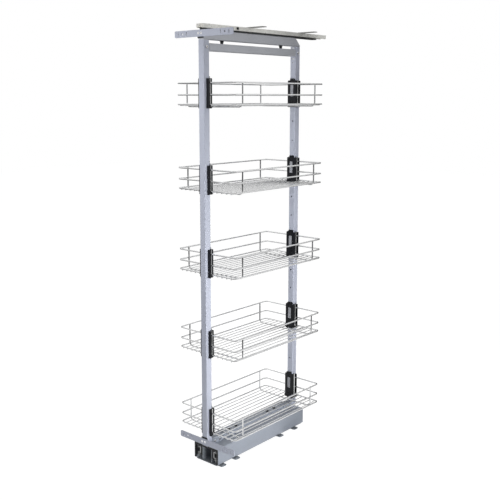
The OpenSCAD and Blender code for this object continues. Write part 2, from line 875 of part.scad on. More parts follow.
module top_beam() {
    color("lightsteelblue")
        difference() {
            intersection() {
                along_x(-tube_w / 2, tube_w)
                    beam_side_2d(0);
                along_y(-frame_d / 2, frame_d)
                    translate([0, beam_z + beam_h / 2])
                        rounded_rect(tube_w, beam_h, tube_r);
            }
            along_x(-tube_w / 2 + tube_t, tube_w - 2 * tube_t)
                beam_side_2d(tube_t);
            for (side = [-1, 1])
                pin_z(0, side * runner_bolt_y, beam_z - cut, beam_h + 2 * cut, runner_bolt_d + 2 * fit_gap);
            bar_screw_places(bar_high_z)
                pin_y(0, -frame_d / 2 - cut, 0, tube_t + 2 * cut, bar_screw_d + 2 * fit_gap);
        }
}

module top_runner() {
    color("dimgray")
        difference() {
            translate([-runner_w / 2, runner_y, frame_h])
                cube([runner_w, runner_end - runner_y, runner_t]);
            for (side = [-1, 1]) {
                pin_z(
                    0, side * runner_bolt_y, frame_h - cut,
                    runner_t + 2 * cut, runner_bolt_d + 2 * fit_gap
                );
                pin_z(
                    0, side * runner_bolt_y, runner_z - runner_head_h - fit_gap,
                    runner_head_h + cut, runner_head_d + 2 * fit_gap
                );
            }
            for (y = [front_roller_y, rear_roller_y])
                pin_z(0, y, frame_h - cut, runner_t + 2 * cut, pin_d);
        }
}

module runner_bolts() {
    color("dimgray")
        for (side = [-1, 1]) {
            y = side * runner_bolt_y;
            tip_z = beam_z - cone_h;
            pin_z(0, y, tip_z, runner_z - fit_gap - tip_z, runner_bolt_d);
            pin_z(0, y, runner_z - runner_head_h - fit_gap, runner_head_h, runner_head_d);
        }
}

module cone_nuts() {
    color("black")
        for (side = [-1, 1])
            translate([0, side * runner_bolt_y, beam_z - cone_h])
                difference() {
                    cylinder(h = cone_h, d1 = cone_tip_d, d2 = cone_foot_d);
                    pin_z(0, 0, -cut, cone_h + 2 * cut, runner_bolt_d + 2 * fit_gap);
                }
}

// Ceiling rail and its guide rollers

module roller_pins() {
    shoulder_z = roller_z - roller_rest;
    head_z = roller_z + roller_h + roller_rest;
    head_h = track_top - track_t - head_z - roller_rest - fit_gap;
    color("silver")
        for (y = [front_roller_y, rear_roller_y]) {
            pin_z(0, y, frame_h, head_z + head_h - frame_h, pin_d);
            pin_z(0, y, runner_z, shoulder_z - runner_z, pin_shoulder_d);
            pin_z(0, y, head_z, head_h, pin_head_d);
        }
}

module guide_roller(y) {
    inner = pin_d / 2 + pin_gap;
    outer = roller_d / 2;
    color("whitesmoke")
        translate([0, y, roller_z])
            rotate_extrude()
                polygon([
                    [inner, 0],
                    [outer - roller_edge, 0],
                    [outer, roller_edge],
                    [outer, roller_h - roller_edge],
                    [outer - roller_edge, roller_h],
                    [inner, roller_h]
                ]);
}

module ceiling_rail() {
    color("beige")
        difference() {
            along_y(track_y, track_l)
                difference() {
                    translate([-track_w / 2, track_z])
                        square([track_w, track_h]);
                    translate([-track_room / 2, track_z + track_t])
                        square([track_room, track_h - 2 * track_t]);
                    translate([-track_room / 2 + track_lip, track_z - cut])
                        square([track_room - 2 * track_lip, track_t + 2 * cut]);
                }
            strap_rivet_places()
                pin_z(0, 0, track_top - track_t - cut, track_t + 2 * cut, rivet_d);
        }
}

module strap_rivet_places() {
    for (side = [-1, 1], y = strap_y)
        translate([side * strap_rivet_x, y, 0])
            children();
}

module ceiling_strap(y) {
    color("gainsboro")
        up(track_top, strap_t)
            translate([0, y])
                difference() {
                    rounded_rect(strap_w, strap_d, strap_r);
                    for (side = [-1, 1]) {
                        translate([side * strap_hole_x, 0])
                            circle(d = strap_hole_d);
                        translate([side * strap_rivet_x, 0])
                            circle(d = rivet_d);
                    }
                }
}

module strap_rivets() {
    color("silver")
        strap_rivet_places() {
            pin_z(0, 0, track_top - track_t, track_t + strap_t, rivet_d);
            pin_z(0, 0, track_top - track_t - rivet_head_h, rivet_head_h, strap_rivet_head_d);
        }
}

module rail_stops() {
    color("black") {
        for (y = [track_y, track_y + track_l - plug_l])
            translate([-track_room / 2 + recess_gap, y, track_z + track_t + recess_gap])
                cube([track_room - 2 * recess_gap, plug_l, track_h - 2 * track_t - 2 * recess_gap]);
        translate([track_w / 2, front_y + catch_y - catch_l / 2, track_z + (track_h - catch_h) / 2])
            cube([catch_t, catch_l, catch_h]);
    }
}

// Door bars

// Places of a door bar's two screws, with z at the middle height of the bar above bar_z
module bar_screw_places(bar_z) {
    for (side = [-1, 1])
        translate([side * bar_screw_x, 0, bar_z + bar_h / 2])
            children();
}

module bar_screw_head(gap) {
    translate([0, bar_front_y, 0])
        rotate([-90, 0, 0])
            cylinder(h = bar_screw_head_h, d1 = bar_screw_head_d + 2 * gap, d2 = bar_screw_d + 2 * gap);
}

module door_bar(bar_z) {
    color("lightsteelblue")
        difference() {
            along_y(bar_front_y, bar_t)
                translate([bar_shift, bar_z + bar_h / 2])
                    difference() {
                        rounded_rect(bar_w, bar_h, bar_r);
                        for (side = [-1, 1])
                            translate([side * (bar_w / 2 - bar_hole_in), 0]) {
                                circle(d = bar_hole_d);
                                for (x = [-bar_slot_off, bar_slot_off])
                                    translate([x, 0])
                                        rotate(90)
                                            slot_2d(bar_slot_l, bar_slot_w);
                            }
                    }
            bar_screw_places(bar_z) {
                pin_y(0, bar_front_y - cut, 0, bar_t + 2 * cut, bar_screw_d + 2 * fit_gap);
                bar_screw_head(fit_gap);
            }
        }
}

module bar_pad(pad_z, bar_z) {
    color("black")
        difference() {
            along_y(front_y - pad_t, pad_t)
                translate([0, pad_z + (bar_h + pad_show) / 2])
                    square([tube_w, bar_h + pad_show], center = true);
            bar_screw_places(bar_z)
                pin_y(0, front_y - pad_t - cut, 0, pad_t + 2 * cut, bar_screw_d + 2 * fit_gap);
        }
}

module bar_pads() {
    bar_pad(bar_low_z, bar_low_z);
    bar_pad(bar_high_z - pad_show, bar_high_z);
}

module bar_screws() {
    color("silver")
        for (bar_z = [bar_low_z, bar_high_z])
            bar_screw_places(bar_z) {
                bar_screw_head(0);
                pin_y(0, bar_front_y, 0, bar_screw_l, bar_screw_d);
            }
}

// Brackets, built at the front post with z = 0 at the basket's floor rim

module bracket_plate(w, z0, z1, u0, u1, r) {
    along_y(-post_in + u0, u1 - u0)
        translate([0, (z0 + z1) / 2])
            rounded_rect(w, z1 - z0, r);
}

// Wall on the right side of the post, from u0 to u1
module bracket_wall(w, u0, u1) {
    translate([cheek_x, -post_in + u0, -bracket_drop])
        cube([w, u1 - u0, bracket_drop + bracket_rise - cheek_in]);
}

// Foot that closes a leg channel below, with a slanted underside
module bracket_foot() {
    outer_y = -post_in + fin_u - fin_t;
    inner_y = -post_in + body_t;
    along_x(cheek_x, foot_x - cheek_x)
        polygon([
            [outer_y, -bracket_drop],
            [outer_y, seat_z],
            [inner_y, seat_z],
            [inner_y, -bracket_drop + foot_rise]
        ]);
}

module bracket_shape() {
    difference() {
        union() {
            bracket_plate(flange_w, -bracket_drop, bracket_rise, 0, body_t, bracket_r);
            bracket_plate(tab_w, 0, bracket_rise + tab_rise, 0, tab_t, bracket_r);
            for (right = [false, true])
                at_side(right) {
                    bracket_wall(cheek_t, fin_u - fin_t, cut);
                    bracket_wall(cheek_t + flange_over, -flange_in, cut);
                    bracket_wall(cheek_t + fin_over, fin_u - fin_t, fin_u);
                    bracket_foot();
                }
        }
        bracket_plate(
            insert_w, insert_z[0], insert_z[1], body_t - insert_t - fit_gap, body_t + cut, bracket_r
        );
        for (z = [hole_rise, hole_rise + hole_pitch]) {
            pin_y(0, -post_in - cut, z, body_t + 2 * cut, post_hole_d);
            pin_y(
                0, -post_in + screw_head_u, z,
                screw_head_h + screw_sink + cut, screw_head_d + 2 * recess_gap
            );
        }
    }
}

module bracket(rear, i) {
    color("black")
        translate([0, 0, floor_z(i)])
            at_end(rear)
                bracket_shape();
}

module all_brackets() {
    for (i = [1 : shelf_count], rear = [false, true])
        translate([0, 0, floor_z(i)])
            at_end(rear)
                children();
}

module bracket_inserts() {
    gap = 2 * fit_gap;
    color("gray")
        all_brackets()
            bracket_plate(
                insert_w - gap, insert_z[0] + fit_gap, insert_z[1] - fit_gap,
                body_t - insert_t - fit_gap, body_t - fit_gap, bracket_r - gap
            );
}

module bracket_screws() {
    shank_u = -tube_t - screw_reach;
    color("dimgray")
        all_brackets()
            for (z = [hole_rise, hole_rise + hole_pitch]) {
                pin_y(0, -post_in + shank_u, z, screw_head_u - shank_u, screw_d);
                pin_y(0, -post_in + screw_head_u, z, screw_head_h, screw_head_d);
            }
}

// Baskets, built about the frame's middle with z = 0 at the floor rim

// Quarter bend of wire about the given centre, lying flat
module flat_bend(x, y, z, turn) {
    translate([x, y, z])
        rotate(turn)
            rotate_extrude(angle = 90)
                translate([rim_r, 0])
                    circle(d = wire_d);
}

// Right half of a rim, from the front leg round to the rear leg
module rim_side(z) {
    straight = basket_d - 2 * rim_r;
    end_x = leg_x - wire_d / 2;
    pin_y(basket_w / 2, -straight / 2, z, straight, wire_d);
    flat_bend(basket_w / 2 - rim_r, straight / 2, z, 0);
    flat_bend(basket_w / 2 - rim_r, -straight / 2, z, -90);
    for (y = [-basket_d / 2, basket_d / 2])
        pin_x(end_x, y, z, basket_w / 2 - rim_r - end_x, wire_d);
}

// Upright wire, bent at its foot into the run below the floor
module stay_half(y) {
    x = basket_w / 2 - weld_pitch;
    pin_z(x, y, stay_z + stay_r, rim_top - stay_z - stay_r, wire_d);
    translate([x - stay_r, y, stay_z + stay_r])
        rotate([90, 0, 0])
            rotate(-90)
                rotate_extrude(angle = 90)
                    translate([stay_r, 0])
                        circle(d = wire_d);
    pin_x(0, y, stay_z, x - stay_r, wire_d);
}

module basket_half() {
    for (z = [0, rim_mid, rim_top])
        rim_side(z);
    for (side = [-1, 1])
        stay_half(side * (basket_d / 2 - stay_in));
    for (rear = [false, true])
        at_end(rear)
            pin_z(leg_x, -post_in + leg_u, -wire_d / 2, leg_top + wire_d / 2, wire_d);
    for (i = [0 : floor_wires / 2 - 1]) {
        x = (i + 0.5) * floor_step;
        half_l = floor_wire_half(x);
        pin_y(x, -half_l, floor_wire_z, 2 * half_l, floor_wire_d);
    }
}

module basket(i) {
    color("lightgray")
        translate([0, 0, floor_z(i)])
            for (right = [false, true])
                at_side(right)
                    basket_half();
}

base_plate();
slide_spacers();
base_rail(false);  // left_base_rail
base_rail(true);  // right_base_rail
base_rail_rivets();
ceiling_rail();
ceiling_strap(strap_y[0]);  // front_ceiling_strap
ceiling_strap(strap_y[1]);  // rear_ceiling_strap
strap_rivets();
rail_stops();
mid_rail(false);  // left_mid_rail
mid_rail(true);  // right_mid_rail
outer_ball_cages();
inner_ball_cages();
carriage_cover();
front_trim();
cover_rail(false);  // left_cover_rail
cover_rail(true);  // right_cover_rail
cover_rail_rivets();
bottom_beam();
beam_bolts();
shoe(false);  // front_shoe
shoe(true);  // rear_shoe
shoe_bolts();
post(false);  // front_post
post(true);  // rear_post
crossbar();
lock_screws();
spigot(false);  // front_spigot
spigot(true);  // rear_spigot
top_beam();
top_runner();
runner_bolts();
cone_nuts();
roller_pins();
guide_roller(front_roller_y);  // front_guide_roller
guide_roller(rear_roller_y);  // rear_guide_roller
door_bar(bar_high_z);  // upper_door_bar
door_bar(bar_low_z);  // lower_door_bar
bar_pads();
bar_screws();
bracket_inserts();
bracket_screws();
for (i = [1 : shelf_count]) {
    bracket(false, i);
    bracket(true, i);
    basket(i);
}
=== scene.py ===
"""Finishes, wire baskets, fasteners and a white studio for a pull-out pantry frame."""

import json
import math

import bmesh
import bpy
from bpy.props import FloatProperty, FloatVectorProperty, IntProperty, PointerProperty
from mathutils import Euler, Matrix, Vector

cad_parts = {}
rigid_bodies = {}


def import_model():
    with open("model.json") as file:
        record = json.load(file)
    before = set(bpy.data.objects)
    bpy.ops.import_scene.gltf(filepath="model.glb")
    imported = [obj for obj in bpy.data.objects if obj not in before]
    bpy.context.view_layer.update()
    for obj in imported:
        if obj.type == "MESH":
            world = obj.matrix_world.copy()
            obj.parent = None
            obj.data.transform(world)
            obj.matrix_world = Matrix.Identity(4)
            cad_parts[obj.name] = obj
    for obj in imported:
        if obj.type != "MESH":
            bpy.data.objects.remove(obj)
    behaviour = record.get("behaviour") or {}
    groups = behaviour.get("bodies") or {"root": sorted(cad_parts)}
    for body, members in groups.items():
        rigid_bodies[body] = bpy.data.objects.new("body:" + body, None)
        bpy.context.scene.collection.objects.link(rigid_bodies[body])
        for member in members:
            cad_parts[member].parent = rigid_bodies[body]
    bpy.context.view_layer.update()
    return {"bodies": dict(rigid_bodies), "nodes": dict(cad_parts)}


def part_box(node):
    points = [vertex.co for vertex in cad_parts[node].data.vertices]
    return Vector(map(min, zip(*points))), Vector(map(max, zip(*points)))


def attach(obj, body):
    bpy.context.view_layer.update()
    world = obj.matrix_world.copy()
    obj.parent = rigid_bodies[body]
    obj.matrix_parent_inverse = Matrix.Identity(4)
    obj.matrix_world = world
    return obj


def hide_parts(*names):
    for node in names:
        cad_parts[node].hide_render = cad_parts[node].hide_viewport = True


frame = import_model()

bl_info = {
    "name": "Pull-out pantry frame",
    "version": (1, 0, 0),
    "blender": (4, 5, 0),
    "location": "View3D > Sidebar > Pantry",
    "description": "Dresses a pull-out pantry frame with finishes, wire baskets and fasteners",
    "category": "Object",
}

MM = 0.001
# Vertices closer than this belong to one solid
MERGE = 1e-6
# Nothing is divided by less than this
LEAST = 1e-6
# Edges of turned shapes that bend by more than this stay sharp
SHARP = math.radians(35)
BASKETS = sorted(body for body in frame["bodies"] if body.startswith("basket_"))
# The slot of each node, before the finishes take the place of the plain materials
SLOTS = {name: node.material_slots[0].material.name for name, node in frame["nodes"].items()}

FLOAT = "NodeSocketFloat"
COLOUR = "NodeSocketColor"
VECTOR = "NodeSocketVector"
GEOMETRY = "NodeSocketGeometry"
MATERIAL = "NodeSocketMaterial"

WHITE = (1.0, 1.0, 1.0, 1.0)
BLACK = (0.0, 0.0, 0.0, 1.0)


# Node trees


class Nodes:
    """Adds nodes to one tree and joins their sockets."""

    def __init__(self, tree):
        self.tree = tree

    def put(self, socket, value):
        """Links the socket to another, or sets its own value."""
        if isinstance(value, bpy.types.NodeSocket):
            self.tree.links.new(value, socket)
        else:
            socket.default_value = value

    def add(self, kind, inputs=None, **settings):
        """Adds a node with its settings, and fills its inputs by name or number."""
        made = self.tree.nodes.new(kind)
        for key, value in settings.items():
            setattr(made, key, value)
        for key, value in (inputs or {}).items():
            self.put(made.inputs[key], value)
        return made

    def out(self, kind, inputs=None, output=0, **settings):
        """Adds a node and returns one of its outputs."""
        return self.add(kind, inputs, **settings).outputs[output]

    def group(self, tree, inputs=None):
        """Places a node group and returns its outputs."""
        kind = "ShaderNodeGroup" if tree.bl_idname == "ShaderNodeTree" else "GeometryNodeGroup"
        return self.add(kind, inputs, node_tree=tree).outputs

    def maths(self, operation, a, b=0.0):
        """The outcome of an operation on one or two numbers or sockets."""
        return self.out("ShaderNodeMath", {0: a, 1: b}, operation=operation)

    def plus(self, a, b):
        return self.maths("ADD", a, b)

    def minus(self, a, b):
        return self.maths("SUBTRACT", a, b)

    def times(self, a, b):
        return self.maths("MULTIPLY", a, b)

    def vector(self, x=0.0, y=0.0, z=0.0):
        return self.out("ShaderNodeCombineXYZ", {0: x, 1: y, 2: z})

    def mix(self, factor, a, b):
        """A colour between a and b, by the node's sockets for colours."""
        made = self.add("ShaderNodeMix", {"Factor": factor}, data_type="RGBA")
        self.put(made.inputs[6], a)
        self.put(made.inputs[7], b)
        return made.outputs[2]

    def spread(self, value, low, high):
        """A value from 0 to 1, spread from low to high."""
        return self.out("ShaderNodeMapRange", {"Value": value, "To Min": low, "To Max": high})


def new_group(name, kind, inputs, outputs):
    """An empty node group with named sockets; returns its nodes, its inputs and its outputs."""
    tree = bpy.data.node_groups.new(name, kind)
    for label, socket_type, default in inputs:
        socket = tree.interface.new_socket(label, in_out="INPUT", socket_type=socket_type)
        if default is not None:
            socket.default_value = default
    for label, socket_type in outputs:
        tree.interface.new_socket(label, in_out="OUTPUT", socket_type=socket_type)
    nodes = Nodes(tree)
    return nodes, nodes.add("NodeGroupInput").outputs, nodes.add("NodeGroupOutput").inputs


# Surface effects that several finishes share


def grain_group():
    """Fine grain of a chosen size, stretched along an axis for drawn metal."""
    nodes, given, result = new_group(
        "fine_grain", "ShaderNodeTree",
        [("Grain Size", FLOAT, 1 * MM), ("Stretch", VECTOR, (1, 1, 1))],
        [("Grain", FLOAT), ("Fleck", FLOAT)],
    )
    place = nodes.out("ShaderNodeTexCoord", output="Object")
    place = nodes.out("ShaderNodeVectorMath", {0: place, 1: given["Stretch"]}, operation="DIVIDE")
    scale = nodes.maths("DIVIDE", 1.0, given["Grain Size"])
    grain = nodes.out("ShaderNodeTexNoise", {"Vector": place, "Scale": scale, "Detail": 2.0})
    fleck = nodes.out("ShaderNodeTexVoronoi", {"Vector": place, "Scale": scale}, output="Color")
    nodes.put(result["Grain"], grain)
    nodes.put(result["Fleck"], nodes.out("ShaderNodeSeparateColor", {"Color": fleck}))
    return nodes.tree


def smudge_group():
    """Broad soft patches where a surface was handled."""
    nodes, given, result = new_group(
        "handling_smudges", "ShaderNodeTree", [("Patch Size", FLOAT, 60 * MM)], [("Smudge", FLOAT)]
    )
    place = nodes.out("ShaderNodeTexCoord", output="Object")
    scale = nodes.maths("DIVIDE", 1.0, given["Patch Size"])
    noise = nodes.out(
        "ShaderNodeTexNoise", {"Vector": place, "Scale": scale, "Detail": 4.0, "Distortion": 0.4}
    )
    sharper = nodes.out("ShaderNodeMapRange", {"Value": noise, "From Min": 0.35, "From Max": 0.7})
    nodes.put(result["Smudge"], sharper)
    return nodes.tree


def wear_group():
    """Rubbed edges: where the surface turns away within the wear width, broken up by noise."""
    nodes, given, result = new_group(
        "rubbed_edges", "ShaderNodeTree", [("Width", FLOAT, 0.8 * MM)], [("Wear", FLOAT)]
    )
    flat = nodes.out("ShaderNodeNewGeometry", output="Normal")
    rounded = nodes.out("ShaderNodeBevel", {"Radius": given["Width"]}, samples=4)
    same = nodes.out("ShaderNodeVectorMath", {0: flat, 1: rounded}, output="Value", operation="DOT_PRODUCT")
    edge = nodes.out("ShaderNodeMapRange", {"Value": same, "From Min": 0.98, "From Max": 0.75})
    place = nodes.out("ShaderNodeTexCoord", output="Object")
    noise = nodes.out("ShaderNodeTexNoise", {"Vector": place, "Scale": 90.0, "Detail": 3.0})
    broken = nodes.out("ShaderNodeMapRange", {"Value": noise, "From Min": 0.4, "From Max": 0.65})
    nodes.put(result["Wear"], nodes.times(edge, broken))
    return nodes.tree


def dust_group():
    """A thin film of dust on the faces that look up."""
    nodes, given, result = new_group(
        "settled_dust", "ShaderNodeTree", [("Patch Size", FLOAT, 25 * MM)], [("Dust", FLOAT)]
    )
    normal = nodes.out("ShaderNodeNewGeometry", output="Normal")
    up = nodes.out("ShaderNodeSeparateXYZ", {"Vector": normal}, output="Z")
    flat = nodes.out("ShaderNodeMapRange", {"Value": up, "From Min": 0.75, "From Max": 1.0})
    place = nodes.out("ShaderNodeTexCoord", output="Object")
    scale = nodes.maths("DIVIDE", 1.0, given["Patch Size"])
    noise = nodes.out("ShaderNodeTexNoise", {"Vector": place, "Scale": scale, "Detail": 6.0})
    nodes.put(result["Dust"], nodes.times(flat, noise))
    return nodes.tree


EFFECTS = {
    "grain": grain_group(),
    "smudge": smudge_group(),
    "wear": wear_group(),
    "dust": dust_group(),
}

# Values of the finishes, apart from their colours: plain ones go straight onto the shader
FINISHES = {
    "frame_paint": dict(
        rough=(0.30, 0.42), grain=0.9 * MM, bump=0.05, fleck=0.10, wear=0.30, dust=0.10,
        plain={"Metallic": 0.1, "Coat Weight": 0.1, "Coat Roughness": 0.25},
    ),
    "cover_paint": dict(
        rough=(0.36, 0.48), grain=0.9 * MM, bump=0.06, fleck=0.10, wear=0.30, dust=0.16,
        plain={"Metallic": 0.15, "Coat Weight": 0.1, "Coat Roughness": 0.30},
    ),
    "base_paint": dict(
        rough=(0.40, 0.55), grain=0.9 * MM, bump=0.06, fleck=0.10, wear=0.35, dust=0.20,
        plain={"Metallic": 0.30},
    ),
    "slide_steel": dict(
        rough=(0.22, 0.38), grain=0.35 * MM, stretch=(1, 60, 1), bump=0.05, fleck=0.16, wear=0.30,
        plain={"Metallic": 1.0},
    ),
    "zinc": dict(
        rough=(0.26, 0.44), grain=4 * MM, stretch=(1, 2.5, 1), bump=0.02, fleck=0.08, wear=0.25, dust=0.10,
        plain={"Metallic": 0.35},
    ),
    "bright_steel": dict(
        rough=(0.14, 0.26), grain=0.25 * MM, bump=0.04, fleck=0.10, wear=0.20, plain={"Metallic": 1.0}
    ),
    "dark_steel": dict(
        rough=(0.30, 0.48), grain=0.4 * MM, bump=0.08, fleck=0.30, wear=0.10, dust=0.06,
        plain={"Metallic": 0.5},
    ),
    "black_plastic": dict(
        rough=(0.34, 0.50), grain=0.5 * MM, bump=0.14, fleck=0.25, wear=0.05, dust=0.03,
        plain={"Specular IOR Level": 0.25},
    ),
    "grey_plastic": dict(
        rough=(0.36, 0.52), grain=0.5 * MM, bump=0.12, fleck=0.12, wear=0.10, dust=0.04,
        plain={"Specular IOR Level": 0.5},
    ),
    "nylon": dict(
        rough=(0.32, 0.46), grain=0.8 * MM, bump=0.05, fleck=0.06, wear=0.0, dust=0.04,
        plain={"Subsurface Weight": 0.15, "Subsurface Radius": (0.002, 0.002, 0.0015)},
    ),
    "chrome_wire": dict(
        rough=(0.07, 0.16), grain=0.5 * MM, stretch=(4, 4, 4), bump=0.015, fleck=0.08, wear=0.0, dust=0.03,
        plain={"Metallic": 1.0},
    ),
}
FINISHES["head_paint"] = FINISHES["frame_paint"]
# The straps take the zinc's values in a darker colour: painted shade on their undersides
FINISHES["strap_steel"] = FINISHES["zinc"]
# Nodes that take another finish than their slot's
OWN_FINISH = {
    "front_post": "post_paint",
    "rear_post": "post_paint",
    "top_beam": "head_paint",
    "crossbar": "head_paint",
    # The ceiling straps take zinc darkened as painted shade
    "front_ceiling_strap": "strap_steel",
    "rear_ceiling_strap": "strap_steel",
}
DUST_COLOUR = (0.62, 0.61, 0.60, 1.0)
# Brightness of handled patches and of rubbed edges as a share of the colour, and the depth of the grain
HANDLED = 0.8
RUBBED = 1.5
RELIEF = 0.2 * MM
# Painted shade: a near-black colour on the inside walls of the hollow posts, which darkens their holes, and
# the paint's depth below the outer faces, where it starts
POST_INSIDE_SHADE = (0.012, 0.012, 0.014, 1.0)
PAINT = 0.1 * MM
# Share of the sum of both offsets that counts as the offset at a post's rounded corners
CORNER_SHARE = 0.62


def shade(colour, factor):
    """The colour, lighter or darker, with its alpha."""
    return (*(min(1.0, c * factor) for c in colour[:3]), 1.0)


def post_inside_shade_mask(nodes, middle, reach):
    """1 where shade is painted, inside the outer paint of the posts, which stand at that middle along Y on
    both sides, else 0.
    """
    place = nodes.out("ShaderNodeTexCoord", output="Object")
    place = nodes.add("ShaderNodeSeparateXYZ", {0: place}).outputs
    wide = nodes.maths("ABSOLUTE", place["X"])
    deep = nodes.maths("ABSOLUTE", nodes.minus(nodes.maths("ABSOLUTE", place["Y"]), middle))
    corner = nodes.times(nodes.plus(wide, deep), CORNER_SHARE)
    off = nodes.maths("MAXIMUM", nodes.maths("MAXIMUM", wide, deep), corner)
    return nodes.maths("LESS_THAN", off, reach)


def make_finish(
    name, colour, rough, grain, bump, fleck, wear, plain, stretch=(1, 1, 1), dust=0.0, post=None
):
    """Makes a material from the shared effects: flecked colour, rubbed edges, dust, smudges and grain.

    A post's middle along Y and its reach from there mark its inside, where shade is painted in a near-black
    colour.
    """
    made = bpy.data.materials.new("pantry_" + name)
    made.use_nodes = True
    made.diffuse_color = shade(colour, 1.0)
    nodes = Nodes(made.node_tree)
    shader = made.node_tree.nodes["Principled BSDF"]
    for label, value in plain.items():
        shader.inputs[label].default_value = value
    surface = nodes.group(EFFECTS["grain"], {"Grain Size": grain, "Stretch": stretch})
    smudge = nodes.group(EFFECTS["smudge"])["Smudge"]
    tone = nodes.mix(surface["Fleck"], shade(colour, 1.0 - fleck), shade(colour, 1.0 + fleck))
    tone = nodes.mix(nodes.times(smudge, fleck), tone, shade(colour, HANDLED))
    if wear:
        edges = nodes.group(EFFECTS["wear"])["Wear"]
        tone = nodes.mix(nodes.times(edges, wear), tone, shade(colour, RUBBED))
    gloss = nodes.spread(smudge, *rough)
    if dust:
        film = nodes.times(nodes.group(EFFECTS["dust"])["Dust"], dust)
        tone = nodes.mix(film, tone, DUST_COLOUR)
        gloss = nodes.plus(gloss, film)
    # Painted shade: near black on the inside walls of a post
    if post:
        tone = nodes.mix(post_inside_shade_mask(nodes, *post), tone, POST_INSIDE_SHADE)
    relief = nodes.out(
        "ShaderNodeBump", {"Height": surface["Grain"], "Strength": bump, "Distance": RELIEF}
    )
    nodes.put(shader.inputs["Base Color"], tone)
    nodes.put(shader.inputs["Roughness"], gloss)
    nodes.put(shader.inputs["Normal"], relief)


def finish(name):
    """The material of a finish, which the finishes operator has made."""
    return bpy.data.materials["pantry_" + name]


# Mesh helpers


def solids(node):
    """The boxes of a node's separate solids, as lowest and highest corners."""
    shape = bmesh.new()
    shape.from_mesh(frame["nodes"][node].data)
    bmesh.ops.remove_doubles(shape, verts=shape.verts, dist=MERGE)
    boxes = []
    waiting = set(shape.verts)
    for first in shape.verts:
        if first not in waiting:
            continue
        waiting.discard(first)
        reached = [first]
        for vert in reached:
            for edge in vert.link_edges:
                other = edge.other_vert(vert)
                if other in waiting:
                    waiting.discard(other)
                    reached.append(other)
        low = Vector(min(v.co[k] for v in reached) for k in range(3))
        high = Vector(max(v.co[k] for v in reached) for k in range(3))
        boxes.append((low, high))
    shape.free()
    return boxes


def add_piece(name, mesh, body, slot, *nodes):
    """Links a finished mesh as a piece of that body, in place of CAD nodes."""
    piece = bpy.data.objects.new(name, mesh)
    bpy.context.scene.collection.objects.link(piece)
    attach(piece, body)
    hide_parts(*nodes)


def turned(name, rings, sides, hollow=False):
    """A closed shape from rings along Z, capped, or joined from the last ring to the first if hollow.

    A ring's radius is a number or a function of the angle.
    """
    shape = bmesh.new()
    loops = []
    for radius, z in rings:
        loop = []
        for k in range(sides):
            angle = 2 * math.pi * k / sides
            reach = radius(angle) if callable(radius) else radius
            loop.append(shape.verts.new((reach * math.cos(angle), reach * math.sin(angle), z)))
        loops.append(loop)
    if hollow:
        loops.append(loops[0])
    else:
        shape.faces.new(reversed(loops[0]))
        shape.faces.new(loops[-1])
    for low, high in zip(loops, loops[1:]):
        for k in range(sides):
            shape.faces.new((low[k], low[k - sides + 1], high[k - sides + 1], high[k]))
    mesh = bpy.data.meshes.new(name)
    shape.to_mesh(mesh)
    shape.free()
    mesh.shade_smooth()
    mesh.set_sharp_from_angle(angle=SHARP)
    return mesh


# Outlines of turned shapes: the radius by angle


def hexagon(across):
    """A hexagon of that width across its flats."""
    sector = math.pi / 3
    return lambda angle: across / 2 / math.cos((angle + sector / 2) % sector - sector / 2)


def cross(arm, width):
    """A cross with arms of that length and width."""
    quarter = math.pi / 2

    def radius(angle):
        off = abs((angle + quarter / 2) % quarter - quarter / 2)
        return min(arm / math.cos(off), width / 2 / max(math.sin(off), LEAST))

    return radius


def rectangle(width, height):
    """A rectangle of that width and height."""

    def radius(angle):
        along, up = abs(math.cos(angle)), abs(math.sin(angle))
        return min(width / 2 / max(along, LEAST), height / 2 / max(up, LEAST))

    return radius


# Geometry node trees

WIRE_SIDES = 16
BEND_STEPS = 9


def round_wire(nodes, line, radius):
    """A round wire along a line, closed at its ends."""
    profile = nodes.out("GeometryNodeCurvePrimitiveCircle", {"Resolution": WIRE_SIDES, "Radius": radius})
    return nodes.out(
        "GeometryNodeCurveToMesh", {"Curve": line, "Profile Curve": profile, "Fill Caps": True}
    )


def bent_wire_tree():
    """A round wire through four corners, bent at the inner two."""
    corners = ("Start", "First Bend", "Second Bend", "End")
    nodes, given, result = new_group(
        "bent_wire", "GeometryNodeTree",
        [(label, VECTOR, None) for label in corners]
        + [("Bend Radius", FLOAT, 12 * MM), ("Diameter", FLOAT, 5 * MM)],
        [("Wire", GEOMETRY)],
    )
    corner = nodes.add("GeometryNodeIndexSwitch", data_type="VECTOR")
    while len(corner.index_switch_items) < len(corners):
        corner.index_switch_items.new()
    nodes.put(corner.inputs["Index"], nodes.out("GeometryNodeInputIndex"))
    for i, label in enumerate(corners):
        nodes.put(corner.inputs[1 + i], given[label])
    points = nodes.out("GeometryNodePoints", {"Count": len(corners), "Position": corner.outputs[0]})
    line = nodes.out("GeometryNodePointsToCurves", {"Points": points})
    line = nodes.out("GeometryNodeCurveSplineType", {"Curve": line}, spline_type="POLY")
    line = nodes.out(
        "GeometryNodeFilletCurve",
        {"Curve": line, "Radius": given["Bend Radius"], "Count": BEND_STEPS},
        mode="POLY",
    )
    nodes.put(result["Wire"], round_wire(nodes, line, nodes.times(given["Diameter"], 0.5)))
    return nodes.tree


